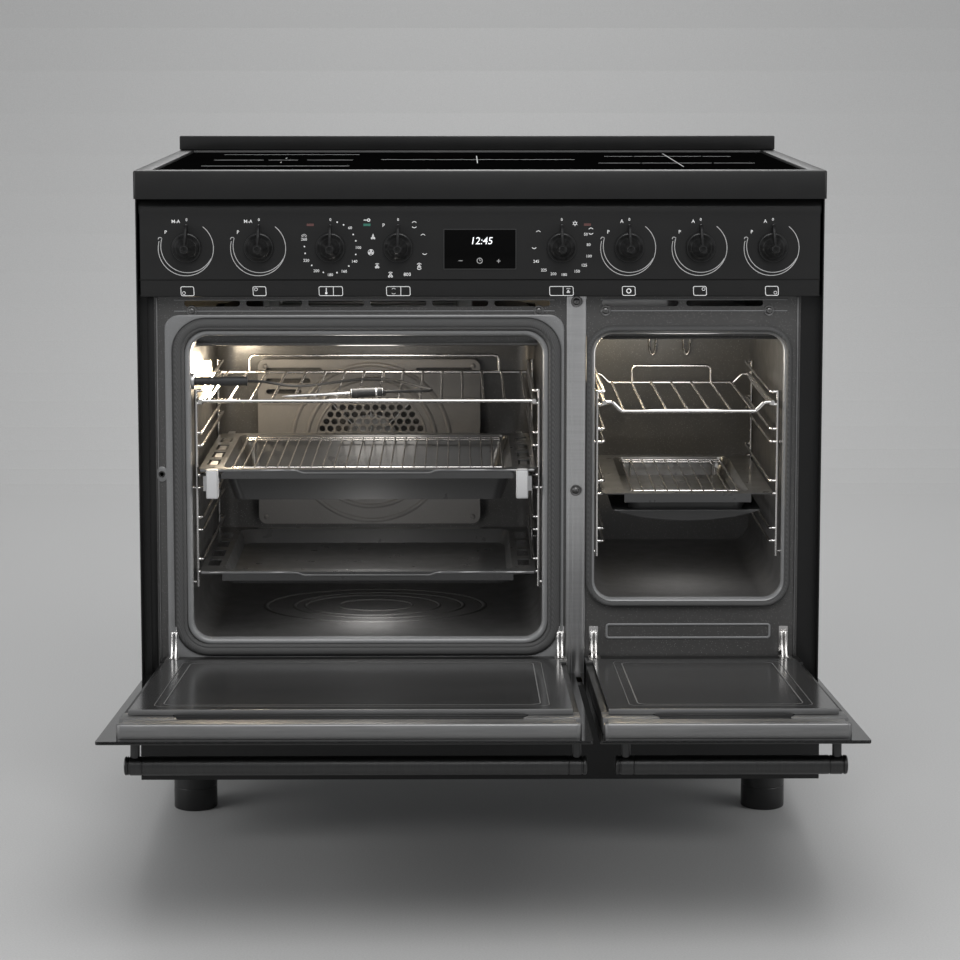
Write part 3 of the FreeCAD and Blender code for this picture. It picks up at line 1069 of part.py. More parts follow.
def cooling_fan():
    axis_z = f"({main_top} + cavity_sheet + rotor_lift)"
    half_house = "housing_width / 2"
    blades = []
    disc_spans = [(f"rotor_x {sign} rotor_length / 2 {shift}", f"rotor_x {sign} rotor_length / 2 {end}")
                  for sign, shift, end in (("-", "", "+ 2"), ("+", "- 2", ""))]
    for span in disc_spans:
        blades.append(cylinder("RotorDisc", "x", "rotor_diameter", ("rotor_y", axis_z), span))
    blades.append(cylinder("RotorShaft", "x", "rotor_shaft", ("rotor_y", axis_z),
                           (f"rotor_x - {half_house} - 6", f"rotor_x + {half_house} + 6")))
    for index in range(int(number("rotor_blade_count"))):
        turn = 2 * math.pi * index / number("rotor_blade_count")
        y = f"rotor_y + (rotor_diameter / 2 - 3) * {math.cos(turn):.6f}"
        z = f"{axis_z} + (rotor_diameter / 2 - 3) * {math.sin(turn):.6f}"
        blades.append(cylinder("RotorBlade", "x", "4", (y, z), ("rotor_x - rotor_length / 2 + 1", "rotor_x + rotor_length / 2 - 1")))
    finished("cooling_fan_rotor", fuse("CoolingRotor", blades))

    low = f"({main_top} + cavity_sheet + seat)"
    high = f"({axis_z} + rotor_diameter / 2 + 8)"
    outer = box("HousingOuter", (f"rotor_x - {half_house}", f"rotor_x + {half_house}"),
                ("rotor_y - housing_depth / 2", "rotor_y + housing_depth / 2"), (low, high))
    hollow = box("HousingHollow", (f"rotor_x - {half_house} + housing_sheet", f"rotor_x + {half_house} - housing_sheet"),
                 ("rotor_y - housing_depth / 2 - 1", "rotor_y + housing_depth / 2 - housing_sheet"),
                 (f"{low} + housing_sheet", f"{high} - housing_sheet"))
    bore = cylinder("HousingBore", "x", "rotor_shaft + 0.1", ("rotor_y", axis_z),
                    (f"rotor_x - {half_house} - 1", f"rotor_x + {half_house} + 1"))
    finished("cooling_fan_housing", cut("CoolingHousing", outer, [hollow, bore]))


def supply():
    y1 = f"({back} - panel_sheet)"
    outer = box("TerminalOuter", ("terminal_x - terminal_width / 2", "terminal_x + terminal_width / 2"),
                (f"{y1} - terminal_depth", y1), ("terminal_z - terminal_height / 2", "terminal_z + terminal_height / 2"))
    hollow = box("TerminalHollow", ("terminal_x - terminal_width / 2 + 2", "terminal_x + terminal_width / 2 - 2"),
                 (f"{y1} - terminal_depth + 2", f"{y1} + 1"),
                 ("terminal_z - terminal_height / 2 + 2", "terminal_z + terminal_height / 2 - 2"))
    case = cut("TerminalCase", outer, [hollow])
    block = box("TerminalBlock", ("terminal_x - 36", "terminal_x + 36"), (f"{y1} - terminal_depth + 2", f"{y1} - 14"),
                ("terminal_z + 4", "terminal_z + 26"))
    studs = [cylinder("TerminalStud", "y", "5", (f"terminal_x - 28 + {index} * 14", "terminal_z + 15"),
                      (f"{y1} - 14", f"{y1} - 8")) for index in range(5)]
    finished("mains_terminal", fuse("MainsTerminal", [case, block] + studs))


# ---------------------------------------------------------------- temperature probe
def probe():
    spot = ("socket_y", "socket_z")
    flange = cylinder("SocketFlange", "x", "socket_diameter + 4", spot, ("main_left + seat", "main_left + socket_rise"))
    barrel = cylinder("SocketBarrel", "x", "socket_diameter", spot, ("main_left - 22", "main_left + socket_rise"))
    bore = cylinder("SocketBore", "x", "plug_diameter - 3 + 0.1", spot, ("main_left - 15", "main_left + socket_rise + 1"))
    finished("probe_socket", cut("ProbeSocket", fuse("SocketSolid", [flange, barrel]), [bore]))

    start = "(main_left + socket_rise + seat)"
    pin = cylinder("PlugPin", "x", "plug_diameter - 3", spot, ("main_left - 13", start))
    stem = cylinder("PlugStem", "x", "plug_diameter", spot, (start, f"{start} + plug_length"))
    grip = cylinder("PlugGrip", "x", "plug_grip", spot, (f"{start} + plug_length", f"{start} + plug_length + plug_grip_length"))
    finished("probe_plug", fuse("ProbePlug", [pin, stem, grip]))

    cord_start = number(f"{start} + plug_length + plug_grip_length")
    y = number("socket_y")
    z = number("socket_z")
    # the cord leaves the plug, sinks onto the shelf, turns back on itself and ends at the probe's grip
    route = [(cord_start, y, z), (-288, y, z), (-268, -226, 611.5), (-250, -196, 605), (-231, -161, 601),
             (-208, -122, 599), (-181, -86, 598.2), (-158, -66, 597.9), (-135, -67, 597.9), (-113, -87, 597.9),
             (-93, -124, 597.9), (-74, -160, 597.9), (-63, -181, 598), (-69, -200, 598.7), (-88, -212, 600.2),
             (-111, -221.5, 601.4), (-130, -224, 600.9)]

    def cord_bend(corner, before, after, turn):
        return 0.45 * min((corner - before).Length, (after - corner).Length) / math.tan(turn / 2)

    radii = []
    for before, corner, after in zip(route, route[1:], route[2:]):
        b, c, a = (FreeCAD.Vector(*spot) for spot in (before, corner, after))
        radii.append(round(cord_bend(c, b, a, (c - b).getAngle(a - c)), 1))
    print("cord radii", radii)
    cord = bent("ProbeCord", route, cord_bend, number("cord_diameter"))
    print("cord length", round(cord.Volume / (math.pi * number("cord_diameter") ** 2 / 4), 1))
    finished("probe_cord", shaped("ProbeCord", cord))

    end = FreeCAD.Vector(*route[-1])
    direction = (end - FreeCAD.Vector(*route[-2])).normalize()
    grip = Part.makeCylinder(number("probe_grip") / 2, number("probe_grip_length"), end, direction)
    tip = end + direction * number("probe_grip_length")
    rest = number("probe_needle") / 2
    needle = Part.makeCylinder(rest, number("probe_needle_length") - 8, tip, direction)
    point = Part.makeCone(rest, 0.4, 8, tip + direction * (number("probe_needle_length") - 8), direction)
    finished("temperature_probe", shaped("TemperatureProbe", grip.multiFuse([needle, point])))


# ---------------------------------------------------------------- the whole cooker
body_panels()
hob()
ovens()
oven_fan()
elements()
lamps()
shelves()
doors()
control_panel()
knob_labels = ["left_front_zone_knob", "left_back_zone_knob", "main_temperature_knob", "main_function_knob",
               "small_oven_knob", "centre_zone_knob", "right_back_zone_knob", "right_front_zone_knob"]
for name, label in zip(knob_names(), knob_labels):
    knob(name, label)
fixings()
cooling_fan()
supply()
probe()
document.recompute()

for piece in document.Objects:
    if "Invalid" in piece.State or "Error" in piece.State:
        raise ValueError(f"{piece.Name} did not build: {piece.State}")
for label, piece in parts.items():
    if piece.Shape.isNull() or not piece.Shape.isValid():
        raise ValueError(f"{label} has no valid shape")
os.makedirs("parts", exist_ok=True)
for label, piece in parts.items():
    piece.Shape.exportStep(os.path.join("parts", label + ".step"))
    print(label, len(piece.Shape.Solids), round(piece.Shape.Volume))
print(len(parts), "parts")
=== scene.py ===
import json
import math

import bmesh
import bpy
from mathutils import Matrix, Vector


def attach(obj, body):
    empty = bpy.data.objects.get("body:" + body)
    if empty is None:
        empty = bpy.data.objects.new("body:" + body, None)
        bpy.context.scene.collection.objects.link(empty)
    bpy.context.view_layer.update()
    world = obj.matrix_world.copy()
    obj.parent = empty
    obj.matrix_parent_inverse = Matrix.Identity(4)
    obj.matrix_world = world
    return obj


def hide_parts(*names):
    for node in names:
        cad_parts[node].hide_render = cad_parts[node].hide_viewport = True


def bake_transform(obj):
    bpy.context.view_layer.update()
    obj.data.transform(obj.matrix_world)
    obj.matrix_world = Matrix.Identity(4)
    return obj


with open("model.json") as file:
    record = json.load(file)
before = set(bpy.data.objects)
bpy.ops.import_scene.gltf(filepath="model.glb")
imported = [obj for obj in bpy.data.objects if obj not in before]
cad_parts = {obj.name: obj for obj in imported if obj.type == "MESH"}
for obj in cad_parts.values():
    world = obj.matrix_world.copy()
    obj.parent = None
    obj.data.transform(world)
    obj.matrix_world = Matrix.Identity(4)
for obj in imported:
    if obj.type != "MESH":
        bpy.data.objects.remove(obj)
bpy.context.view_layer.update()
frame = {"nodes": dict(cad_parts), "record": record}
scene = bpy.context.scene
nodes = frame["nodes"]
slotOf = {part["node"]: part["material_slot"] for part in frame["record"]["subparts"]}
mm = 0.001
print("frame loaded:", len(nodes), "nodes")

# ---- camera and light
cameraValues = {"x": -0.027, "y": -3.75, "height": 1.083, "lens": 100.1, "tiltDown": 6.5, "turn": -0.44,
                "shiftY": -0.1542}
lampValues = {
    "softbox over the front": {"place": (0.2, -2.6, 3.2), "aim": (0, -0.1, 0.5), "size": 2.4, "power": 62},
    "softbox left": {"place": (-3.0, -1.6, 1.7), "aim": (0, 0, 0.5), "size": 1.8, "power": 26},
    "softbox right": {"place": (3.0, -1.4, 1.9), "aim": (0, 0, 0.5), "size": 1.8, "power": 22},
    "softbox behind": {"place": (0, 3.0, 2.6), "aim": (0, 0, 0.6), "size": 2.2, "power": 34},
}
ovenLampValues = {
    "main oven lamp": {"place": (-0.352, -0.052, 0.61), "power": 1.7, "colour": (1, 0.84, 0.62), "radius": 0.02,
                       "mirrored": True},
    "main oven upper": {"place": (-0.15, -0.2, 0.65), "power": 1.7, "colour": (1, 0.95, 0.88), "radius": 0.07,
                        "mirrored": True},
    "main oven middle": {"place": (-0.15, -0.21, 0.425), "power": 1.4, "colour": (1, 0.98, 0.95),
                         "radius": 0.06, "mirrored": False},
    "main oven floor": {"place": (-0.15, -0.17, 0.318), "power": 1.0, "colour": (1, 0.99, 0.98), "radius": 0.05,
                        "mirrored": False},
    "small oven lamp": {"place": (0.176, -0.12, 0.66), "power": 1.5, "colour": (1, 0.86, 0.62), "radius": 0.02,
                        "mirrored": True},
    "small oven upper": {"place": (0.276, -0.19, 0.65), "power": 0.8, "colour": (1, 0.97, 0.93), "radius": 0.06,
                         "mirrored": True},
    "small oven floor": {"place": (0.276, -0.16, 0.4), "power": 0.55, "colour": (1, 0.99, 0.98), "radius": 0.05,
                         "mirrored": False},
}


def placeCamera(values):
    lens = bpy.data.cameras.new("photo camera")
    lens.lens = values["lens"]
    lens.sensor_width = 36
    lens.shift_y = values["shiftY"]
    lens.clip_end = 60
    camera = bpy.data.objects.new("photo camera", lens)
    camera.location = (values["x"], values["y"], values["height"])
    camera.rotation_euler = (math.radians(90 - values["tiltDown"]), 0, math.radians(values["turn"]))
    scene.collection.objects.link(camera)
    scene.camera = camera


def placeLamps(lamps):
    for name, values in lamps.items():
        light = bpy.data.lights.new(name, "AREA")
        light.energy = values["power"]
        light.size = values["size"]
        light.shape = "DISK"
        lamp = bpy.data.objects.new(name, light)
        lamp.location = values["place"]
        aim = Vector(values["aim"]) - Vector(values["place"])
        lamp.rotation_euler = aim.to_track_quat("-Z", "Y").to_euler()
        scene.collection.objects.link(lamp)
    scene.world = bpy.data.worlds.new("studio")
    scene.world.use_nodes = True
    sky = scene.world.node_tree.nodes["Background"]
    sky.inputs["Color"].default_value = (0.92, 0.93, 0.95, 1)
    sky.inputs["Strength"].default_value = 0.42
    scene.view_settings.view_transform = "Standard"


def placeOvenLamps(lamps):
    for name, values in lamps.items():
        light = bpy.data.lights.new(name, "POINT")
        light.energy = values["power"]
        light.color = values["colour"]
        light.shadow_soft_size = values["radius"]
        lamp = bpy.data.objects.new(name, light)
        lamp.location = values["place"]
        lamp.visible_camera = False
        lamp.visible_glossy = values["mirrored"]
        scene.collection.objects.link(lamp)


placeCamera(cameraValues)
placeLamps(lampValues)
placeOvenLamps(ovenLampValues)
print("camera and lamps placed")


# ---- finishes
class Channel:  # one output of a shader node: sums written on it become Math nodes
    def __init__(self, socket):
        self.socket = socket

    def maths(self, operation, first, second):
        tree = self.socket.id_data
        node = tree.nodes.new("ShaderNodeMath")
        node.operation = operation
        for place, term in zip(node.inputs, (first, second)):
            if isinstance(term, Channel):
                tree.links.new(term.socket, place)
            else:
                place.default_value = term
        return Channel(node.outputs[0])

    def __add__(self, other):
        return self.maths("ADD", self, other)

    __radd__ = __add__

    def __sub__(self, other):
        return self.maths("SUBTRACT", self, other)

    def __rsub__(self, other):
        return self.maths("SUBTRACT", other, self)

    def __mul__(self, other):
        return self.maths("MULTIPLY", self, other)

    __rmul__ = __mul__

    def __lt__(self, other):
        return self.maths("LESS_THAN", self, other)

    def __gt__(self, other):
        return self.maths("GREATER_THAN", self, other)


class Finish:
    def __init__(self, name, **fixed):
        self.material = bpy.data.materials.new(name)
        self.material.use_nodes = True
        self.tree = self.material.node_tree
        self.shader = self.tree.nodes["Principled BSDF"]
        self.surface(fixed)

    def connect(self, socket, value):
        if isinstance(value, Channel):
            self.tree.links.new(value.socket, socket)
        else:
            socket.default_value = value

    def surface(self, values):
        for name, value in values.items():
            self.connect(self.shader.inputs[name.replace("_", " ")], value)

    def node(self, kind, settings, sockets, output=0):
        made = self.tree.nodes.new(kind)
        for name, value in settings.items():
            if name == "stops":
                for stop, (place, colour) in zip(made.color_ramp.elements, value):
                    stop.position, stop.color = place, colour
            else:
                setattr(made, name, value)
        for name, value in sockets.items():
            self.connect(made.inputs[name], value)
        return Channel(made.outputs[output])

    def place(self, stretch=(1, 1, 1), turn=(0, 0, 0)):
        here = self.node("ShaderNodeTexCoord", {}, {}, "Object")
        return self.node("ShaderNodeMapping", {}, {"Vector": here, "Scale": stretch, "Rotation": turn})

    def noise(self, scale, detail=3, stretch=(1, 1, 1)):
        sockets = {"Vector": self.place(stretch), "Scale": scale, "Detail": detail}
        return self.node("ShaderNodeTexNoise", {}, sockets, "Fac")

    def cells(self, scale, output="Distance"):
        return self.node("ShaderNodeTexVoronoi", {}, {"Vector": self.place(), "Scale": scale}, output)

    def between(self, share, first, second):
        return self.node("ShaderNodeMix", {"data_type": "RGBA"}, {0: share, 6: first, 7: second}, 2)

    def relief(self, height, strength, depth):
        bump = self.node("ShaderNodeBump", {}, {"Height": height, "Strength": strength, "Distance": depth})
        self.surface({"Normal": bump})


def grey(level, warmth=0.0):
    return (level * (1 + warmth), level, level * (1 - warmth), 1)


# enamel: two close tones in soft clouds, pale specks, and the faint waviness of a fired coat
def enamel(name, values):
    finish = Finish(name, Coat_Roughness=0.12, Specular_IOR_Level=values["shine"])
    clouds = finish.noise(values["cloudScale"], 4)
    body = finish.between(clouds, grey(values["dark"], values["warmth"]),
                          grey(values["pale"], values["warmth"]))
    specks = finish.cells(values["speckScale"]) < values["speckSize"]
    colour = finish.between(specks, body, grey(values["speck"], values["warmth"]))
    wear = finish.noise(38, 5)
    finish.surface({"Base_Color": colour, "Roughness": wear * values["roughSpread"] + values["rough"],
                    "Coat_Weight": values["coat"]})
    finish.relief(finish.noise(values["waveScale"], 2), values["wave"], 0.0006)
    return finish.material


# brushed metal: fine scratches drawn out along one direction
def brushed(name, values):
    finish = Finish(name, Metallic=1.0)
    grain = finish.noise(values["grainScale"], 5, values["stretch"])
    clouds = finish.noise(9, 3)
    colour = finish.between(grain, grey(values["dark"], values["warmth"]),
                            grey(values["pale"], values["warmth"]))
    finish.surface({"Base_Color": colour, "Roughness": clouds * 0.12 + grain * 0.14 + values["rough"]})
    finish.relief(grain, 0.12, 0.0002)
    return finish.material


# chromed wire: bright, with heat tint and dull smears where the plating has been wiped
def chromed(name, values):
    finish = Finish(name, Metallic=1.0)
    smear = finish.noise(60, 4)
    tint = finish.between(finish.noise(14, 2), grey(values["pale"]), grey(values["dark"], 0.05))
    finish.surface({"Base_Color": tint, "Roughness": smear * 0.22 + values["rough"]})
    finish.relief(finish.noise(900, 2), 0.05, 0.0002)
    return finish.material


# zinc coated sheet: the flat crystals of the coating catch the light at different tones
def zinc(name, values):
    finish = Finish(name, Metallic=0.85)
    crystals = finish.node("ShaderNodeSeparateColor", {},
                           {"Color": finish.cells(values["crystals"], output="Color")})
    clouds = finish.noise(6, 4)
    colour = finish.between(crystals, grey(values["dark"], -0.02), grey(values["pale"], -0.02))
    finish.surface({"Base_Color": colour, "Roughness": crystals * 0.16 + clouds * 0.14 + values["rough"]})
    finish.relief(finish.noise(260, 3), 0.08, 0.0003)
    return finish.material


# polished black glass with the faint haze of wiping
def blackGlass(name, values):
    finish = Finish(name, Specular_IOR_Level=values["shine"])
    haze = finish.noise(7, 5, (1, 2.4, 1))
    colour = finish.between(haze, grey(values["dark"]), grey(values["pale"]))
    finish.surface({"Base_Color": colour, "Roughness": haze * 0.07 + values["rough"]})
    finish.relief(finish.noise(3.5, 1), 0.05, 0.0008)
    return finish.material


# moulded plastic with a spark-eroded grain
def moulding(name, values):
    finish = Finish(name)
    grain = finish.noise(values["grainScale"], 3)
    shade = finish.noise(30, 3)
    finish.surface({"Base_Color": finish.between(shade, grey(values["dark"]), grey(values["pale"])),
                    "Roughness": grain * 0.1 + shade * 0.08 + values["rough"]})
    finish.relief(grain, values["grain"], 0.0003)
    return finish.material


# heating element sheath: oxide in blue-brown patches
def sheath(name, values):
    finish = Finish(name, Metallic=0.75)
    oxide = finish.noise(24, 5)
    finish.surface({"Base_Color": finish.between(oxide, values["blued"], values["brown"]),
                    "Roughness": oxide * 0.3 + 0.34})
    finish.relief(finish.noise(700, 3), 0.15, 0.0003)
    return finish.material


# braided sleeve: two sets of strands that cross
def braided(name, values):
    finish = Finish(name)
    strands = []
    for turn in (0.8, -0.8):
        wave = finish.node("ShaderNodeTexWave", {}, {"Vector": finish.place(turn=(turn, turn, turn)),
                           "Scale": values["strandScale"], "Distortion": 0.4})
        strands.append(wave)
    weave = strands[0] * strands[1]
    finish.surface({"Base_Color": finish.between(weave, grey(values["dark"]), grey(values["pale"])),
                    "Roughness": weave * -0.15 + 0.78})
    finish.relief(weave, 0.6, 0.0004)
    return finish.material


# printed ink: slightly uneven cover, matt; glow gives it emission: real light for the lit clock digits, painted
# glow for the white print
def ink(name, colour, glow=0.0):
    finish = Finish(name, Emission_Strength=glow)
    cover = finish.noise(400, 2)
    worn = tuple(0.8 * channel for channel in colour[:3]) + (1,)
    tone = finish.between(cover, colour, worn)
    finish.surface({"Base_Color": tone, "Roughness": cover * 0.2 + 0.45, "Emission_Color": tone})
    return finish.material


def lampGlow(name, values):
    finish = Finish(name, Emission_Strength=values["strength"], Roughness=0.25)
    ribs = finish.node("ShaderNodeTexWave", {}, {"Vector": finish.place(), "Scale": values["ribScale"]})
    tone = finish.between(ribs, values["warm"], values["bright"])
    finish.surface({"Base_Color": tone, "Emission_Color": tone})
    finish.relief(ribs, 0.5, 0.0005)
    return finish.material


finishes = {
    "black_enamel": enamel("cabinet enamel", {"dark": 0.0085, "pale": 0.0115, "warmth": 0.0, "cloudScale": 5,
                           "speckScale": 900, "speckSize": 0.0, "speck": 0.02, "rough": 0.3,
                           "roughSpread": 0.14, "coat": 0.06, "shine": 0.3, "wave": 0.1, "waveScale": 240}),
    "panel_black": enamel("fascia enamel", {"dark": 0.011, "pale": 0.0135, "warmth": 0.0, "cloudScale": 4,
                          "speckScale": 900, "speckSize": 0.0, "speck": 0.02, "rough": 0.34,
                          "roughSpread": 0.12, "coat": 0.06, "shine": 0.32, "wave": 0.08, "waveScale": 300}),
    "oven_enamel": enamel("oven enamel", {"dark": 0.05, "pale": 0.068, "warmth": 0.02, "cloudScale": 16,
                          "speckScale": 420, "speckSize": 0.16, "speck": 0.22, "rough": 0.24,
                          "roughSpread": 0.22, "coat": 0.4, "shine": 0.5, "wave": 0.16, "waveScale": 150}),
    "front_enamel": enamel("front frame enamel",
                           {"dark": 0.185, "pale": 0.225, "warmth": -0.01, "cloudScale": 14,
                           "speckScale": 520, "speckSize": 0.14, "speck": 0.36, "rough": 0.26,
                           "roughSpread": 0.16, "coat": 0.45, "shine": 0.5, "wave": 0.12, "waveScale": 170}),
    "tray_enamel": enamel("tray enamel", {"dark": 0.04, "pale": 0.052, "warmth": 0.0, "cloudScale": 11,
                          "speckScale": 380, "speckSize": 0.1, "speck": 0.1, "rough": 0.2, "roughSpread": 0.22,
                          "coat": 0.5, "shine": 0.5, "wave": 0.12, "waveScale": 130}),
    "door_aluminium": brushed("door end rail",
                              {"grainScale": 40, "stretch": (0.5, 10, 10), "dark": 0.2, "pale": 0.27,
                              "warmth": 0.0, "rough": 0.32}),
    "bare_zinc_sheet": zinc("zinc sheet", {"crystals": 55, "dark": 0.36, "pale": 0.5, "rough": 0.28}),
    "bright_steel": brushed("brushed steel",
                            {"grainScale": 30, "stretch": (0.6, 14, 14), "dark": 0.5, "pale": 0.64,
                            "warmth": 0.0, "rough": 0.2}),
    "probe_steel": brushed("probe needle steel",
                           {"grainScale": 200, "stretch": (1, 1, 3), "dark": 0.5, "pale": 0.66,
                           "warmth": 0.0, "rough": 0.14}),
    "screw_zinc": brushed("screw plating", {"grainScale": 400, "stretch": (1, 1, 1), "dark": 0.13, "pale": 0.22,
                          "warmth": 0.01, "rough": 0.2}),
    "fan_steel": brushed("pressed fan sheet",
                         {"grainScale": 120, "stretch": (1, 6, 1), "dark": 0.34, "pale": 0.46,
                         "warmth": 0.0, "rough": 0.3}),
    "handle_metal": brushed("handle black plating", {"grainScale": 60, "stretch": (8, 1, 1), "dark": 0.05,
                            "pale": 0.075, "warmth": 0.0, "rough": 0.26}),
    "rack_chrome": chromed("rack chrome", {"pale": 0.78, "dark": 0.6, "rough": 0.1}),
    "hinge_chrome": chromed("hinge plating", {"pale": 0.7, "dark": 0.56, "rough": 0.14}),
    "hob_ceramic": blackGlass("hob glass ceramic", {"dark": 0.0015, "pale": 0.0025, "rough": 0.05,
                              "shine": 0.0}),
    "front_glass": blackGlass("outer door glass", {"dark": 0.006, "pale": 0.009, "rough": 0.04,
                              "shine": 0.5}),
    "inner_door_glass": blackGlass("inner door glass", {"dark": 0.03, "pale": 0.042, "rough": 0.13,
                                   "shine": 0.5}),
    "display_glass": blackGlass("display glass", {"dark": 0.002, "pale": 0.003, "rough": 0.1,
                                "shine": 0.06}),
    "knob_black": moulding("knob moulding", {"grainScale": 700, "grain": 0.05, "dark": 0.006, "pale": 0.01,
                           "rough": 0.24}),
    "dark_plastic": moulding("dark moulding", {"grainScale": 500, "grain": 0.2, "dark": 0.02, "pale": 0.03,
                             "rough": 0.42}),
    "foot_plastic": moulding("foot moulding", {"grainScale": 350, "grain": 0.16, "dark": 0.009, "pale": 0.014,
                             "rough": 0.3}),
    "element_sheath": sheath("element sheath",
                             {"blued": (0.12, 0.12, 0.14, 1), "brown": (0.22, 0.18, 0.15, 1)}),
    "coil_unit": sheath("copper coils", {"blued": (0.5, 0.22, 0.1, 1), "brown": (0.34, 0.3, 0.27, 1)}),
    "seal_rubber": braided("seal sleeve", {"strandScale": 260, "dark": 0.055, "pale": 0.11}),
    "probe_sleeve": braided("probe lead sleeve", {"strandScale": 420, "dark": 0.015, "pale": 0.05}),
    "lamp_glass": lampGlow("oven lamp glass", {"strength": 3.0, "ribScale": 90, "warm": (1, 0.66, 0.3, 1),
                           "bright": (1, 0.9, 0.7, 1)}),
    # fan cover: the oven's own enamel painted about three times lighter, as painted light for the front light
    # falling on the cover
    "cover_enamel": enamel("fan cover enamel painted lighter", {"dark": 0.15, "pale": 0.2, "warmth": 0.03, "cloudScale": 12,
                           "speckScale": 420, "speckSize": 0.14, "speck": 0.24, "rough": 0.28,
                           "roughSpread": 0.2, "coat": 0.3, "shine": 0.5, "wave": 0.14, "waveScale": 150}),
    # tray rim: bright brushed metal, far lighter than the tray enamel, as a painted highlight along the rolled
    # rim
    "tray_rim": brushed("tray rim painted highlight", {"grainScale": 90, "stretch": (0.5, 6, 6), "dark": 0.2, "pale": 0.3,
                        "warmth": 0.0, "rough": 0.28}),
    "runner cap": moulding("runner cap coating", {"grainScale": 300, "grain": 0.06, "dark": 0.55, "pale": 0.66,
                           "rough": 0.3}),
    "zone print": ink("zone print", (0.62, 0.62, 0.62, 1)),
    # the white print carries a faint painted glow (emission 0.12) so it reads brighter; the ink itself gives no
    # light
    "white print with painted glow": ink("white print with painted glow", (0.93, 0.93, 0.93, 1), 0.12),
    "grey print": ink("grey print", (0.6, 0.6, 0.6, 1)),
    "hob print": ink("hob print", (0.16, 0.16, 0.16, 1)),
    "red print": ink("red print", (0.13, 0.055, 0.05, 1)),
    "green print": ink("green print", (0.04, 0.19, 0.14, 1)),
    "lit digits": ink("lit digits", (0.95, 0.97, 1, 1), 0.7),
    "studio floor": ink("studio floor", (0.6, 0.6, 0.595, 1)),
}
# the fan cover takes the lighter copy of the oven enamel: painted light
finishFor = {"fan_cover": "cover_enamel"}
for name, node in nodes.items():
    for slot in node.material_slots:
        slot.material = finishes[finishFor.get(name, slotOf[name])]
print("finishes made:", len(finishes))


# ---- tools for shaping pieces, with every length in millimetres
def shown(name, mesh, finish, body="cooker", instead=(), sharp=30):
    data = bpy.data.meshes.new(name)
    mesh.to_mesh(data)
    mesh.free()
    data.materials.append(finishes[finish])
    data.shade_smooth()
    data.set_sharp_from_angle(angle=math.radians(sharp))
    made = bpy.data.objects.new(name, data)
    scene.collection.objects.link(made)
    if body:
        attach(made, body)
    if instead:
        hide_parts(*instead)
    return made


def newVerts(grown):
    return [part for part in grown["geom"] if isinstance(part, bmesh.types.BMVert)]


# a turned part: an outline of (radius, distance along the axis) is spun round it
def turned(mesh, outline, centre, axis="-y", steps=40):
    turn = {"-y": Matrix.Rotation(math.radians(90), 4, "X"), "z": Matrix.Identity(4),
            "x": Matrix.Rotation(math.radians(90), 4, "Y"),
            "y": Matrix.Rotation(math.radians(-90), 4, "X")}[axis]
    turn = Matrix.Translation(Vector(centre) * mm) @ turn
    own = bmesh.new()
    rim = [own.verts.new((radius * mm, 0, along * mm)) for radius, along in outline]
    edges = [own.edges.new(pair) for pair in zip(rim, rim[1:])]
    bmesh.ops.spin(own, geom=rim + edges, cent=(0, 0, 0), axis=(0, 0, 1), angle=math.tau, steps=steps,
                   use_merge=True)
    bmesh.ops.remove_doubles(own, verts=own.verts, dist=1e-6)
    bmesh.ops.recalc_face_normals(own, faces=own.faces)
    bmesh.ops.transform(own, matrix=turn, verts=own.verts)
    joinInto(mesh, own)


def joinInto(mesh, own):
    data = bpy.data.meshes.new("part")
    own.to_mesh(data)
    own.free()
    mesh.from_mesh(data)
    bpy.data.meshes.remove(data)


# a block with rounded edges between two corners
def block(mesh, low, high, radius=0.6, segments=2):
    own = bmesh.new()
    size = [b - a for a, b in zip(low, high)]
    middle = Vector([(a + b) / 2 for a, b in zip(low, high)]) * mm
    bmesh.ops.create_cube(own, size=1,
                          matrix=Matrix.Translation(middle) @ Matrix.Diagonal([s * mm for s in size] + [1]))
    rounding = min(radius, 0.49 * min(size)) * mm
    bmesh.ops.bevel(own, geom=own.edges[:], offset=rounding, segments=segments, profile=0.5, affect="EDGES",
                    material=-1)
    joinInto(mesh, own)


# a section of (y, z) points drawn out along X, or of (x, z) points along Y
def drawnOut(mesh, section, low, high, along="x", radius=0.0):
    own = bmesh.new()
    if along == "x":
        corners = [own.verts.new((low * mm, y * mm, z * mm)) for y, z in section]
        travel = ((high - low) * mm, 0, 0)
    elif along == "y":
        corners = [own.verts.new((x * mm, low * mm, z * mm)) for x, z in section]
        travel = (0, (high - low) * mm, 0)
    else:
        corners = [own.verts.new((x * mm, y * mm, low * mm)) for x, y in section]
        travel = (0, 0, (high - low) * mm)
    own.faces.new(corners)
    grown = bmesh.ops.extrude_face_region(own, geom=own.faces[:])
    bmesh.ops.translate(own, verts=newVerts(grown), vec=travel)
    bmesh.ops.recalc_face_normals(own, faces=own.faces)
    if radius:
        bmesh.ops.bevel(own, geom=own.edges[:], offset=radius * mm, segments=2, profile=0.5, affect="EDGES",
                        material=-1, clamp_overlap=True)
    joinInto(mesh, own)


# the rim of a rounded rectangle in the plane of a wall
def rim(own, left, right, low, high, corner, y):
    made = bmesh.ops.create_grid(own, x_segments=1, y_segments=1, size=0.5)["verts"]
    middle = Vector(((left + right) / 2, y, (low + high) / 2)) * mm
    stand = Matrix.Translation(middle) @ Matrix.Rotation(math.radians(90), 4, "X")
    bmesh.ops.transform(own, matrix=stand @ Matrix.Diagonal(((right - left) * mm, (high - low) * mm, 1, 1)),
                        verts=made)
    bmesh.ops.bevel(own, geom=made, offset=corner * mm, segments=10, profile=0.5, affect="VERTICES",
                    material=-1)
    edges = own.edges[:]
    bmesh.ops.delete(own, geom=own.faces[:], context="FACES_ONLY")
    return edges


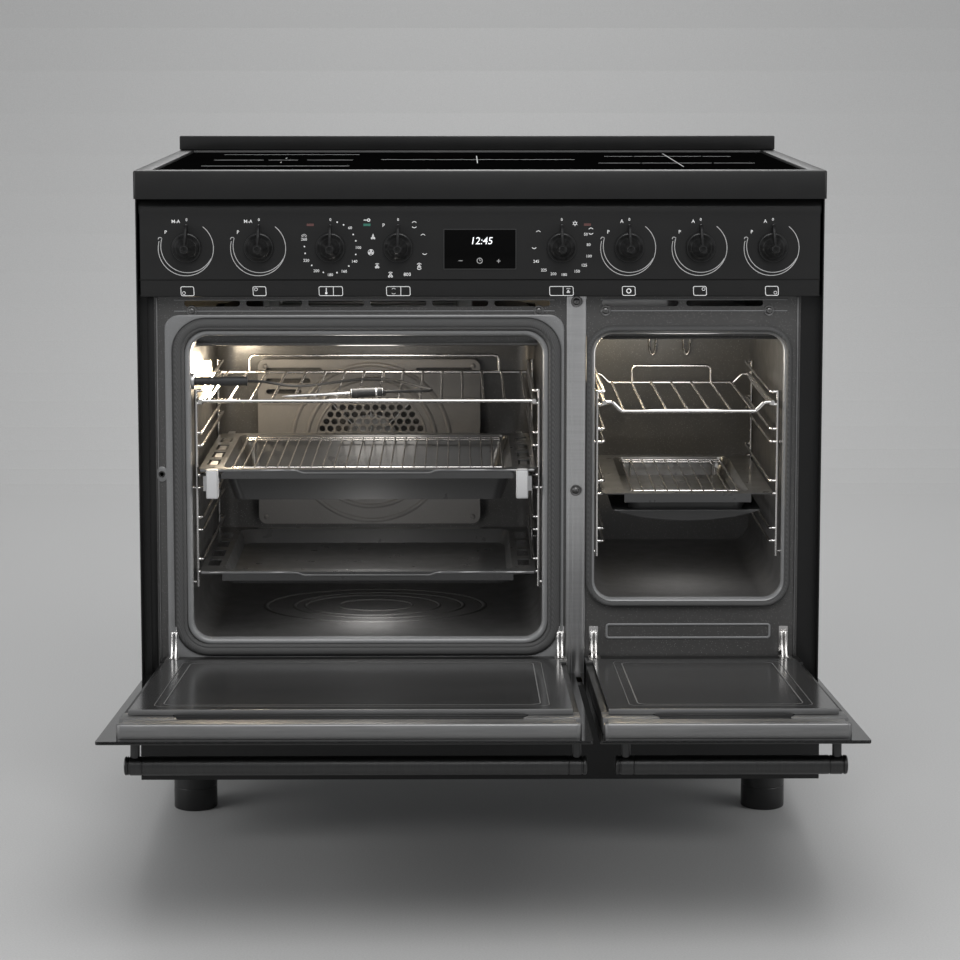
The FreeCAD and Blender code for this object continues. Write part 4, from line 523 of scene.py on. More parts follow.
# where a point of one rim lies on the next one
def carried(spot, before, after):
    left, right, low, high, corner, _ = before
    newLeft, newRight, newLow, newHigh, newCorner, y = after
    share = newCorner / corner
    if spot.x / mm > (left + right) / 2:
        x = newRight - newCorner + (spot.x / mm - right + corner) * share
    else:
        x = newLeft + newCorner + (spot.x / mm - left - corner) * share
    if spot.z / mm > (low + high) / 2:
        z = newHigh - newCorner + (spot.z / mm - high + corner) * share
    else:
        z = newLow + newCorner + (spot.z / mm - low - corner) * share
    return Vector((x, y, z)) * mm


# a wall formed through a row of rims, as a pressing is
def pressed(mesh, rims, caps=(False, False), ring=False):
    own = bmesh.new()
    loop = rim(own, *rims[0])
    if caps[0]:
        bmesh.ops.contextual_create(own, geom=loop)
    for before, after in zip(rims, rims[1:] + rims[:1] * ring):
        verts = newVerts(bmesh.ops.extrude_edge_only(own, edges=loop))
        for vert in verts:
            vert.co = carried(vert.co, before, after)
        fresh = set(verts)
        loop = [edge for edge in own.edges if fresh.issuperset(edge.verts)]
    if caps[1]:
        bmesh.ops.contextual_create(own, geom=loop)
    bmesh.ops.remove_doubles(own, verts=own.verts, dist=1e-6)
    bmesh.ops.recalc_face_normals(own, faces=own.faces)
    joinInto(mesh, own)


# the same, laid flat: low and high are then front and back, and y is minus the height
def pressedFlat(mesh, rims, **options):
    own = bmesh.new()
    pressed(own, rims, **options)
    bmesh.ops.rotate(own, cent=(0, 0, 0), matrix=Matrix.Rotation(math.radians(-90), 3, "X"), verts=own.verts)
    joinInto(mesh, own)


# a smooth line through the air, with the points of its route as control points
def smoothLine(name, row, diameter=0.0):
    curve = bpy.data.curves.new(name, "CURVE")
    curve.dimensions = "3D"
    curve.bevel_depth = diameter / 2 * mm
    curve.bevel_resolution = 4
    curve.resolution_u = 8
    curve.use_fill_caps = diameter > 0
    spline = curve.splines.new("NURBS")
    spline.points.add(len(row) - 1)
    for point, place in zip(spline.points, row):
        point.co = (*(Vector(place) * mm), 1)
    spline.order_u = 3
    spline.use_endpoint_u = True
    holder = bpy.data.objects.new(name, curve)
    data = bpy.data.meshes.new_from_object(holder)
    bpy.data.objects.remove(holder)
    bpy.data.curves.remove(curve)
    return data


# round wire along rows of points, each row one strand
def strands(mesh, rows, diameter):
    for row in rows:
        data = smoothLine("strand", row, diameter)
        mesh.from_mesh(data)
        bpy.data.meshes.remove(data)


# Blender's font size for one unit of a figure's height, and how far its strokes are thickened
wordValues = {"sizePerHeight": 1.42, "bolder": 0.04}


# flat print on a plane: everything is drawn in its own x and y, then given the thickness of ink
class PrintSheet:
    def __init__(self, place, turn=90):
        self.mesh = bmesh.new()
        self.plane = Matrix.Translation(Vector(place) * mm) @ Matrix.Rotation(math.radians(turn), 4, "X")

    def add(self, own, x, y, turn=0.0, slant=0.0):
        lean = Matrix.Identity(4)
        lean[0][1] = slant
        spot = Matrix.Translation((x * mm, y * mm, 0)) @ Matrix.Rotation(math.radians(-turn), 4, "Z") @ lean
        bmesh.ops.transform(own, matrix=self.plane @ spot, verts=own.verts)
        joinInto(self.mesh, own)

    def dot(self, x, y, radius):
        own = bmesh.new()
        bmesh.ops.create_circle(own, cap_ends=True, segments=16, radius=radius * mm)
        self.add(own, x, y)

    def bar(self, x, y, wide, high, turn=0.0):
        own = bmesh.new()
        bmesh.ops.create_grid(own, x_segments=1, y_segments=1, size=0.5,
                              matrix=Matrix.Diagonal((wide * mm, high * mm, 1, 1)))
        self.add(own, x, y, turn)

    def arc(self, x, y, radius, line, start, sweep):
        own = bmesh.new()
        pair = [own.verts.new((0, (radius + side * line / 2) * mm, 0)) for side in (-1, 1)]
        edge = own.edges.new(pair)
        steps = max(6, int(abs(sweep) / 6))
        bmesh.ops.spin(own, geom=pair + [edge], cent=(0, 0, 0), axis=(0, 0, 1), angle=-math.radians(sweep),
                       steps=steps)
        bmesh.ops.rotate(own, cent=(0, 0, 0), matrix=Matrix.Rotation(-math.radians(start), 3, "Z"),
                         verts=own.verts)
        bmesh.ops.remove_doubles(own, verts=own.verts, dist=1e-7)
        self.add(own, x, y)

    def frame(self, x, y, wide, high, corner, line, slant=0.0):
        own = bmesh.new()
        bmesh.ops.create_grid(own, x_segments=1, y_segments=1, size=0.5,
                              matrix=Matrix.Diagonal((wide * mm, high * mm, 1, 1)))
        bmesh.ops.bevel(own, geom=own.verts[:], offset=corner * mm, segments=5, profile=0.5, affect="VERTICES",
                        material=-1)
        middle = own.faces[:]
        bmesh.ops.inset_region(own, faces=middle, thickness=line * mm, use_boundary=True, use_even_offset=True)
        bmesh.ops.delete(own, geom=middle, context="FACES")
        self.add(own, x, y, slant=slant)

    def words(self, x, y, high, text, slant=0.0):
        font = bpy.data.curves.new("figures", "FONT")
        font.body = text
        font.size = high * wordValues["sizePerHeight"] * mm
        font.offset = wordValues["bolder"] * mm
        font.align_x = "CENTER"
        font.align_y = "CENTER"
        font.resolution_u = 2
        holder = bpy.data.objects.new("figures", font)
        data = bpy.data.meshes.new_from_object(holder)
        own = bmesh.new()
        own.from_mesh(data)
        bpy.data.objects.remove(holder)
        bpy.data.curves.remove(font)
        bpy.data.meshes.remove(data)
        self.add(own, x, y, slant=slant)

    def lay(self, name, finish, thick=0.12):
        facing = self.plane.to_3x3() @ Vector((0, 0, 1))
        for face in self.mesh.faces:
            if face.normal.dot(facing) < 0:
                face.normal_flip()
        grown = bmesh.ops.extrude_face_region(self.mesh, geom=self.mesh.faces[:])
        bmesh.ops.translate(self.mesh, verts=newVerts(grown), vec=facing * thick * mm)
        bmesh.ops.recalc_face_normals(self.mesh, faces=self.mesh.faces)
        return shown(name, self.mesh, finish)


# ---- fascia: cove, flat face and the slightly lower strip that carries the symbols
fasciaValues = {"left": -444.5, "right": 444.5,
                "section": [(-268, 863), (-274.5, 861.6), (-279.6, 857.4), (-282.4, 851),
                (-283, 843), (-283, 757.5), (-282.2, 756.2), (-281.6, 755.4), (-281.6, 736.5), (-280.6, 734.6),
                (-279, 734), (-262, 734), (-262, 735.6), (-278.6, 735.6), (-279.8, 737.4), (-279.8, 754.6),
                (-281.2, 758), (-281.4, 843), (-280.8, 850.2), (-278.2, 856), (-273.6, 859.8), (-268, 861)],
                "endThick": 1.6}
# the eight knobs: where each stands, and its turned outline of (radius, distance in front of the fascia)
knobValues = {"axisHeight": 799, "faceY": -283,
              "spots": {"left_front_zone": -382, "left_back_zone": -288, "main_temperature": -195,
                        "main_function": -107,
                        "small_oven": 106, "centre_zone": 194, "right_back_zone": 287, "right_front_zone": 381},
              "outline": [(4, 0.8), (18.5, 0.8), (19, 1.3), (19, 6.3), (18.6, 7.0), (17.4, 7.4), (17.1, 7.9),
                          (16.9, 8.3), (13.5, 13.8), (13.1, 14.2), (12.7, 14.2), (12.5, 14.6), (12.1, 15.4),
                          (8.9, 22.6), (8.3, 24.2), (7.0, 26.6), (6.1, 28.4), (5.7, 30.5), (5.6, 38.9),
                          (5.3, 39.6), (4.8, 40), (3.6, 40), (3.2, 39.5), (3.1, 38.7), (2.7, 38.3), (1.6, 38.3),
                          (1.3, 37.9), (0.9, 37.2), (0, 37.2)],
              "pointer": [(1.2, 2), (1.2, 24), (2.2, 28.4), (4.5, 30), (10, 30), (14.5, 28.6), (18, 25),
                          (26, 15), (33, 8.6), (38, 5.2), (38, 2)],
              "pointerWidth": 3.4, "markHeight": 27.4}


def fascia(values):
    mesh = bmesh.new()
    drawnOut(mesh, values["section"], values["left"], values["right"])
    for end in (values["left"], values["right"] - values["endThick"]):
        front = [point for point in values["section"] if point[1] <= 863][:11]
        drawnOut(mesh, front + [(-262, 734), (-262, 863)], end, end + values["endThick"])
    shown("fascia", mesh, "panel_black", instead=["control_panel"])


def knobs(values):
    for name, x in values["spots"].items():
        mesh = bmesh.new()
        face, height = values["faceY"], values["axisHeight"]
        turned(mesh, values["outline"], (x, face, height), steps=56)
        half = values["pointerWidth"] / 2
        section = [(face - out, height + up) for out, up in values["pointer"]]
        drawnOut(mesh, section, x - half, x + half, radius=0.5)
        shown(name.replace("_", "-") + "-knob-shell", mesh, "knob_black", name + "_control", [name + "_knob"])
        tip = bmesh.new()
        block(tip, (x - 0.8, face - 7.4, height + values["markHeight"]), (x + 0.8, face - 4.2, height + 30.05),
              0.2)
        shown(name.replace("_", "-") + "-pointer-mark", tip, "grey print", name + "_control")


# ---- print on the fascia, placed from each knob's axis; a sign is (knob, kind, across, up, its own sizes)
printValues = {"y": -283.02, "z": 799, "dialRing": 36, "figure": 3.7, "letter": 4.5, "line": 0.9, "dot": 1.0,
               "zones": {"left_front_zone": "M-A", "left_back_zone": "M-A", "centre_zone": "A",
                         "right_back_zone": "A", "right_front_zone": "A"},
               "crescents": [(-1.25, -1.15, 35.9, 38, 247), (0.8, 1.6, 34.6, 118, 170),
                             (-34.6, 10.9, 2.3, -100, 185)],
               "letterSpots": {"A": (-9.8, 33.7), "M-A": (-14, 33.7), "P": (-27.3, 19.8)},
               "temperatures": {3: "60", 6: "100", 8: "140", 10: "160", 12: "180", 14: "200", 16: "220",
                                19: "260"},
               "stops": 19, "stopAngle": 15.1, "dotRing": 34,
               "smallTemperatures": {"50": (31.5, 16.7), "80": (35.2, 3.2), "100": (35.5, -11.8),
                                     "125": (29.4, -23.7),
                                     "150": (20.1, -31.6), "180": (3.2, -36), "200": (-10.6, -35),
                                     "225": (-23, -30), "245": (-33, -18.6)},
               "signs": [("main_temperature", "arc", -34.3, 13.4, 3.6, 0.45, -75, 150),
                         ("main_temperature", "arc", -34.3, 13.0, 2.2, 0.45, -75, 150),
                         ("small_oven", "heat", 38, 21, True, True),
                         ("small_oven", "heat", -30.4, 17.4, True, False),
                         ("small_oven", "heat", -35.9, 2.3, False, True), ("small_oven", "lamp", 17.3, 31.1),
                         ("main_function", "heat", 21.1, 29.5, True, True),
                         ("main_function", "heat", 32.4, 13, True, False),
                         ("main_function", "heat", 34.5, -5.4, False, True),
                         ("main_function", "heat", 27.4, -24.9, True, True),
                         ("main_function", "fan", 27.4, -24.9, 1.5),
                         ("main_function", "words", 11.8, -35.6, 4.5, "800"),
                         ("main_function", "fan", -10.1, -37, 1.9), ("main_function", "fan", -27.4, -25.2, 1.7),
                         ("main_function", "fan", -35.5, -6.4, 1.9), ("main_function", "fan", -32.6, 12.8, 1.7),
                         ("main_function", "arc", -35.5, -6.4, 3.6, 0.6, 0, 360),
                         ("main_function", "arc", -10.1, -36.6, 4.2, 0.8, -38, 76),
                         ("main_function", "arc", -27.4, -25.2, 4.2, 0.6, -38, 76),
                         ("main_function", "bar", -32.6, 16.4, 0.9, 2.6),
                         ("main_function", "words", -18.9, 28.6, 4.5, "P"),
                         ("main_function", "bar", -42.2, 35.6, 5.2, 1.1),
                         ("main_function", "arc", -38.3, 35.6, 1.6, 1.1, 0, 360)],
               "lights": {"heating-lights": ("red print",
                                             [("main_temperature", -26.2, 29.4), ("small_oven", 33.4, 29.5)]),
                          "lock-light": ("green print", [("main_function", -40.5, 29.4)])},
               "lightSize": (9.2, 3.2), "lightThick": 0.4}


def fasciaPrint(values):
    spots = knobValues["spots"]
    white = PrintSheet((0, values["y"], values["z"]))
    rings = PrintSheet((0, values["y"], values["z"]))
    figure, letter = values["figure"], values["letter"]
    for x in spots.values():
        white.words(x, values["dialRing"], figure, "0")
    for name, letters in values["zones"].items():
        for across, up, radius, start, sweep in values["crescents"]:
            rings.arc(spots[name] + across, up, radius, values["line"], start, sweep)
        for words in (letters, "P"):
            across, up = values["letterSpots"][words]
            white.words(spots[name] + across, up, letter, words)
    for stop in range(1, values["stops"] + 1):
        angle = math.radians(stop * values["stopAngle"])
        named = stop in values["temperatures"]
        reach = values["dialRing"] if named else values["dotRing"]
        x, up = spots["main_temperature"] + reach * math.sin(angle), reach * math.cos(angle)
        if named:
            white.words(x, up, figure, values["temperatures"][stop])
        else:
            white.dot(x, up, values["dot"])
    for words, (across, up) in values["smallTemperatures"].items():
        white.words(spots["small_oven"] + across, up, figure, words)
    for knob, kind, across, up, *sizes in values["signs"]:
        signs[kind](white, spots[knob] + across, up, *sizes)
    white.lay("dial-figures", "white print with painted glow")
    rings.lay("zone-crescents", "grey print")
    for name, (finish, places) in values["lights"].items():
        lights = PrintSheet((0, values["y"], values["z"]))
        for knob, across, up in places:
            lights.bar(spots[knob] + across, up, *values["lightSize"])
        lights.lay(name, finish, thick=values["lightThick"])


# small signs: heat from above or below, a fan's three blades, a lamp with its rays
signValues = {"heatRadius": 3.2, "heatSweep": 116, "heatGap": 0.8, "lampRadius": 1.9, "rayReach": 3.1,
              "bladeRadius": 0.55, "bladeLine": 0.5}


def heatArcs(sheet, x, y, above, below):
    radius, sweep, gap = (signValues[key] for key in ("heatRadius", "heatSweep", "heatGap"))
    if above:
        sheet.arc(x, y + gap, radius, 0.75, -sweep / 2, sweep)
        sheet.bar(x, y + 4.3, 1.3, 0.7)
    if below:
        sheet.arc(x, y - gap, radius, 0.9, 180 - sweep / 2, sweep)


def fanSign(sheet, x, y, reach):
    radius, line = reach * signValues["bladeRadius"], reach * signValues["bladeLine"]
    for turn in (0, 120, 240):
        angle = math.radians(turn)
        sheet.arc(x + reach * math.sin(angle), y + reach * math.cos(angle), radius, line, 0, 360)


def lampSign(sheet, x, y):
    reach = signValues["rayReach"]
    sheet.arc(x, y, signValues["lampRadius"], 0.9, 0, 360)
    for turn in range(0, 360, 60):
        angle = math.radians(turn)
        sheet.bar(x + reach * math.sin(angle), y + reach * math.cos(angle), 0.5, 1.1, turn)


signs = {"heat": heatArcs, "fan": fanSign, "lamp": lampSign, "arc": PrintSheet.arc, "bar": PrintSheet.bar,
         "dot": PrintSheet.dot, "words": PrintSheet.words}


# the symbol boxes on the lower strip: single ones for the hob zones, double ones for the ovens
boxValues = {"y": -281.62, "z": 741.6, "wide": 17.6, "high": 12.6, "double": 31.6, "corner": 2.4, "line": 0.8,
             "zoneSpots": {"left_front_zone": (-4.6, -2.4), "left_back_zone": (-4.6, 2.4),
                           "centre_zone": (0, 0),
                           "right_back_zone": (4.6, 2.4), "right_front_zone": (4.6, -2.4)},
             "zoneDot": (1.9, 0.6), "centreDot": (2.7, 1.3),
             "dividers": {"main_temperature": 3.3, "main_function": 3.3, "small_oven": 2.2},
             "signs": [("main_temperature", "bar", -6, 1.4, 1.1, 6), ("main_temperature", "dot", -6, -2.6, 1.6),
                       ("main_function", "arc", -6, 1.2, 2.6, 0.5, -60, 120),
                       ("main_function", "arc", -6, -1.2, 2.6, 0.5, 120, 120),
                       ("small_oven", "fan", 9, -0.8, 1.3), ("small_oven", "arc", 9, -0.8, 4.2, 0.5, -38, 76)]}


def symbolBoxes(values):
    sheet = PrintSheet((0, values["y"], values["z"]))
    spots = knobValues["spots"]
    for name, (across, up) in values["zoneSpots"].items():
        sheet.frame(spots[name], 0, values["wide"], values["high"], values["corner"], values["line"],
                    slant=-0.05)
        radius, line = values["centreDot" if name == "centre_zone" else "zoneDot"]
        sheet.arc(spots[name] + across, up, radius, line, 0, 360)
    for name, divider in values["dividers"].items():
        sheet.frame(spots[name], 0, values["double"], values["high"], values["corner"], values["line"],
                    slant=-0.04)
        sheet.bar(spots[name] + divider, 0, values["line"], values["high"] - 1)
    for knob, kind, across, up, *sizes in values["signs"]:
        signs[kind](sheet, spots[knob] + across, up, *sizes)
    sheet.lay("symbol-boxes", "white print with painted glow")


# ---- clock display
displayValues = {"left": -48, "right": 47, "low": 770, "high": 823, "faceY": -284, "backY": -281.5, "trim": 1.1,
                 "digits": "12:45", "digitHeight": 9.4,
                 "keys": [("bar", -25.2, -15, 5.2, 0.7), ("arc", -0.3, -15, 3.4, 0.8, 0, 360),
                          ("bar", -0.3, -14, 0.6, 2.4), ("bar", 0.5, -15, 2, 0.6),
                          ("bar", 24.4, -15.4, 4.8, 0.8), ("bar", 24.4, -15.4, 0.8, 4.8)]}


def display(values):
    left, right, low, high = (values[side] for side in ("left", "right", "low", "high"))
    pane = bmesh.new()
    block(pane, (left + 0.6, values["faceY"] + 0.1, low + 0.6), (right - 0.6, values["backY"], high - 0.6), 0.4)
    block(pane, (left + 4, values["backY"] - 0.2, low + 4), (right - 4, -261.2, high - 4), 0.8)
    shown("display-window", pane, "display_glass", instead=["display"])
    trim = bmesh.new()
    edge = values["trim"]
    pressed(trim, [(left, right, low, high, 1.0, -282.8), (left, right, low, high, 1.0, values["faceY"]),
                   (left + edge, right - edge, low + edge, high - edge, 0.6, values["faceY"]),
                   (left + edge, right - edge, low + edge, high - edge, 0.6, -282.8)], ring=True)
    shown("display-trim", trim, "dark_plastic")
    sheet = PrintSheet(((left + right) / 2, values["faceY"] + 0.08, (low + high) / 2))
    sheet.words(2.4, 10.6, values["digitHeight"], values["digits"], slant=0.14)
    sheet.lay("clock-digits", "lit digits")
    keys = PrintSheet(((left + right) / 2, values["faceY"] + 0.08, (low + high) / 2))
    for kind, *sizes in values["keys"]:
        signs[kind](keys, *sizes)
    keys.lay("clock-keys", "grey print")


fascia(fasciaValues)
knobs(knobValues)
fasciaPrint(printValues)
symbolBoxes(boxValues)
display(displayValues)
print("fascia, knobs and display made")


# ---- front frames of the two ovens: raised bands pressed into the sheet, and the rolled mouth of each cavity
frameValues = {"planeY": -262, "rise": 2.2, "edge": 1.6,
               "main": {"band": (-415, 110.5, 236, 708.5), "bandCorner": 20,
                        "seal": (-404.5, 105.5, 252.5, 703.5),
                        "sealCorner": 44, "mouth": (-383, 84, 274, 682), "mouthCorner": 26},
               "small": {"band": (141.6, 418, 262, 707.5), "bandCorner": 18,
                         "seal": (140.6, 411.4, 317.6, 693.4),
                         "sealCorner": 34, "mouth": (150, 402, 327, 684), "mouthCorner": 26},
               "panel": (167, 387, 273.8, 294.8), "panelCorner": 4.5, "panelWall": 3, "panelRise": 1.4,
               "panelEdge": 1.2,
               "lip": [(6, 0.2), (5.4, 1.4), (4.2, 2.0), (2.2, 1.9), (0.2, 0.9), (-1.0, -0.8), (-1.6, -3.2),
                       (-1.7, -9), (0.6, -9.4), (0.6, -0.4)]}


def grown(sides, by):
    left, right, low, high = sides
    return left - by, right + by, low - by, high + by


def raisedBand(mesh, outer, outerCorner, inner, innerCorner, y, rise, edge):
    steps = [(0, 0), (0.25 * edge, 0.7 * rise), (edge, rise)]
    rims = [(*grown(outer, -back), outerCorner - back, y - out) for back, out in steps]
    rims += [(*grown(inner, back), innerCorner + back, y - out) for back, out in reversed(steps)]
    pressed(mesh, rims, ring=True)


def ovenFronts(values):
    y, rise, edge = values["planeY"], values["rise"], values["edge"]
    bands = bmesh.new()
    main, small = values["main"], values["small"]
    raisedBand(bands, main["band"], main["bandCorner"], grown(main["seal"], 1), main["sealCorner"] + 1, y, rise,
               edge)
    raisedBand(bands, values["panel"], values["panelCorner"], grown(values["panel"], -values["panelWall"]), 2,
               y, values["panelRise"], values["panelEdge"])
    for oven in (main, small):
        rims = [(*grown(oven["mouth"], out), oven["mouthCorner"] + out, y - ahead) for out,
                ahead in values["lip"]]
        pressed(bands, rims, ring=True)
    shown("oven-front-pressings", bands, "front_enamel")
    print("front pressings made")


# the door seals: a hollow rubber lip on the large oven, a slim one on the small oven
sealValues = {"backY": -262, "section": [(0, 0.4), (0.2, 3.4), (1.6, 5.8), (4.2, 7.2), (7.4, 7.5), (10.0, 6.8),
                                         (11.2, 5.6),
              (11.8, 6.0), (13.6, 5.6), (14.9, 4.2), (15.4, 2.2), (15.5, 0.4)],
              "slimSection": [(0, 0.4), (0.3, 3.6), (1.8, 6.4), (4, 7.4), (6.2, 6.4), (7.7, 3.6), (8, 0.4)]}


def doorSeals(values):
    mesh = bmesh.new()
    for oven, section in (("main", values["section"]), ("small", values["slimSection"])):
        seat = frameValues[oven]
        sides = seat["seal"] if oven == "main" else grown(seat["mouth"], 9.5)
        corner = seat["sealCorner"] if oven == "main" else 35.5
        rims = [(*grown(sides, -back), corner - back, values["backY"] - out) for back, out in section]
        pressed(mesh, rims, ring=True)
    shown("door-seals-profiled", mesh, "seal_rubber", instead=["door_seals"], sharp=60)


# the strip between the ovens: folded edges and one rolled bead
pillarValues = {"low": 222, "high": 733.8,
                "section": [(113.5, -234), (113.5, -263.2), (114.3, -264), (116.4, -264),
                (117, -263.3), (119.6, -263.3), (120.6, -264), (121.6, -264.2), (122.6, -264), (123.6, -263.3),
                (136.4, -263.3), (137, -264), (138.7, -264), (139.5, -263.2), (139.5, -234), (138.3, -234),
                (138.3, -261.8), (114.7, -261.8), (114.7, -234)]}


def pillar(values):
    mesh = bmesh.new()
    drawnOut(mesh, values["section"], values["low"], values["high"], along="z")
    shown("pillar-strip", mesh, "bright_steel", instead=["centre_pillar"], sharp=50)


# screws: domed heads with a cross recess, on a dished washer
screwValues = {"outline": [(4.4, 0), (7.4, 0), (7.4, 0.5), (6.8, 1.2), (4.6, 0.7), (4.0, 1.3), (4.0, 2.0),
                           (3.4, 3.0), (2.2, 3.6), (1.0, 3.7), (0.8, 2.7), (0, 2.6)],
               "cross": (3.4, 0.8), "crossDepth": (2.7, 3.74)}


def screws(values):
    mesh = bmesh.new()
    long, short = values["cross"]
    shallow, deep = values["crossDepth"]
    for low, high in islands(nodes["frame_screws"]):
        x, z, y = (low.x + high.x) / 2 / mm, (low.z + high.z) / 2 / mm, high.y / mm
        turned(mesh, values["outline"], (x, y, z), steps=24)
        for wide, tall in ((long, short), (short, long)):
            block(mesh, (x - wide / 2, y - deep, z - tall / 2), (x + wide / 2, y - shallow, z + tall / 2), 0.1,
                  1)
    shown("frame-screws-crosshead", mesh, "screw_zinc", instead=["frame_screws"])


# the separate solids of one node, each given by its two corners
def islands(node):
    mesh = bmesh.new()
    mesh.from_mesh(node.data)
    bmesh.ops.remove_doubles(mesh, verts=mesh.verts, dist=1e-6)
    left, boxes = set(mesh.verts), []
    while left:
        group, fresh = set(), [left.pop()]
        while fresh:
            vert = fresh.pop()
            group.add(vert)
            near = [edge.other_vert(vert) for edge in vert.link_edges]
            fresh += [v for v in near if v in left]
            left -= set(near)
        places = [v.co for v in group]
        boxes.append((Vector([min(p[i] for p in places) for i in range(3)]),
                      Vector([max(p[i] for p in places) for i in range(3)])))
    mesh.free()
    return boxes


ovenFronts(frameValues)
doorSeals(sealValues)
pillar(pillarValues)
screws(screwValues)

# ---- doors, shaped as if closed and then laid open about their hinge
hinge = Vector((0, -283, 243)) * mm
doorValues = {"open": 85, "glassY": (-300, -296), "low": 228, "high": 731,
              "main": {"glass": (-444.25, 125.75), "frame": (-421.25, 112.75), "arms": (-406.5, 106)},
              "small": {"glass": (133.25, 444.25), "frame": (138.25, 423.25), "arms": (151, 404)},
              "rail": {"low": 693, "high": 726, "y": (-295.9, -277), "corner": 8},
              "innerGlass": {"low": 276, "high": 672, "inset": 9, "y": (-274, -270)},
              "cover": {"wide": 66, "low": 652, "high": 693, "y": -276},
              "vents": [(673.8, 677, -275.2), (677.2, 680.6, -277.6), (680.8, 692.2, -280.6)],
              "ribs": {"main": 9, "small": 5}, "printLines": [(34, 0.8), (44, 1.4)], "printCorner": 14,
              "secondPane": {"inset": 14, "low": 290, "high": 660, "y": (-288, -284.5)},
              "railPlug": [(0, 0), (5.2, 0), (6.4, 0.5), (6.8, 1.6), (6.8, 16.4), (6.2, 17.8), (5.0, 18.6),
                           (0, 18.6)],
              "rivet": [(2.2, 0), (3.8, 0), (4.6, 0.5), (4.8, 1.1), (4.2, 1.6), (3.0, 1.4), (2.4, 0.6)]}


def laidOpen(mesh):
    bmesh.ops.rotate(mesh, cent=hinge, matrix=Matrix.Rotation(math.radians(doorValues["open"]), 3, "X"),
                     verts=mesh.verts)
    return mesh


def plate(mesh, left, right, low, high, corner, backY, frontY, ease=0.5):
    rims = [(left, right, low, high, corner, backY), (left, right, low, high, corner, frontY + ease),
            (left + ease, right - ease, low + ease, high - ease, max(corner - ease, 0.3), frontY)]
    pressed(mesh, rims, caps=(True, True))


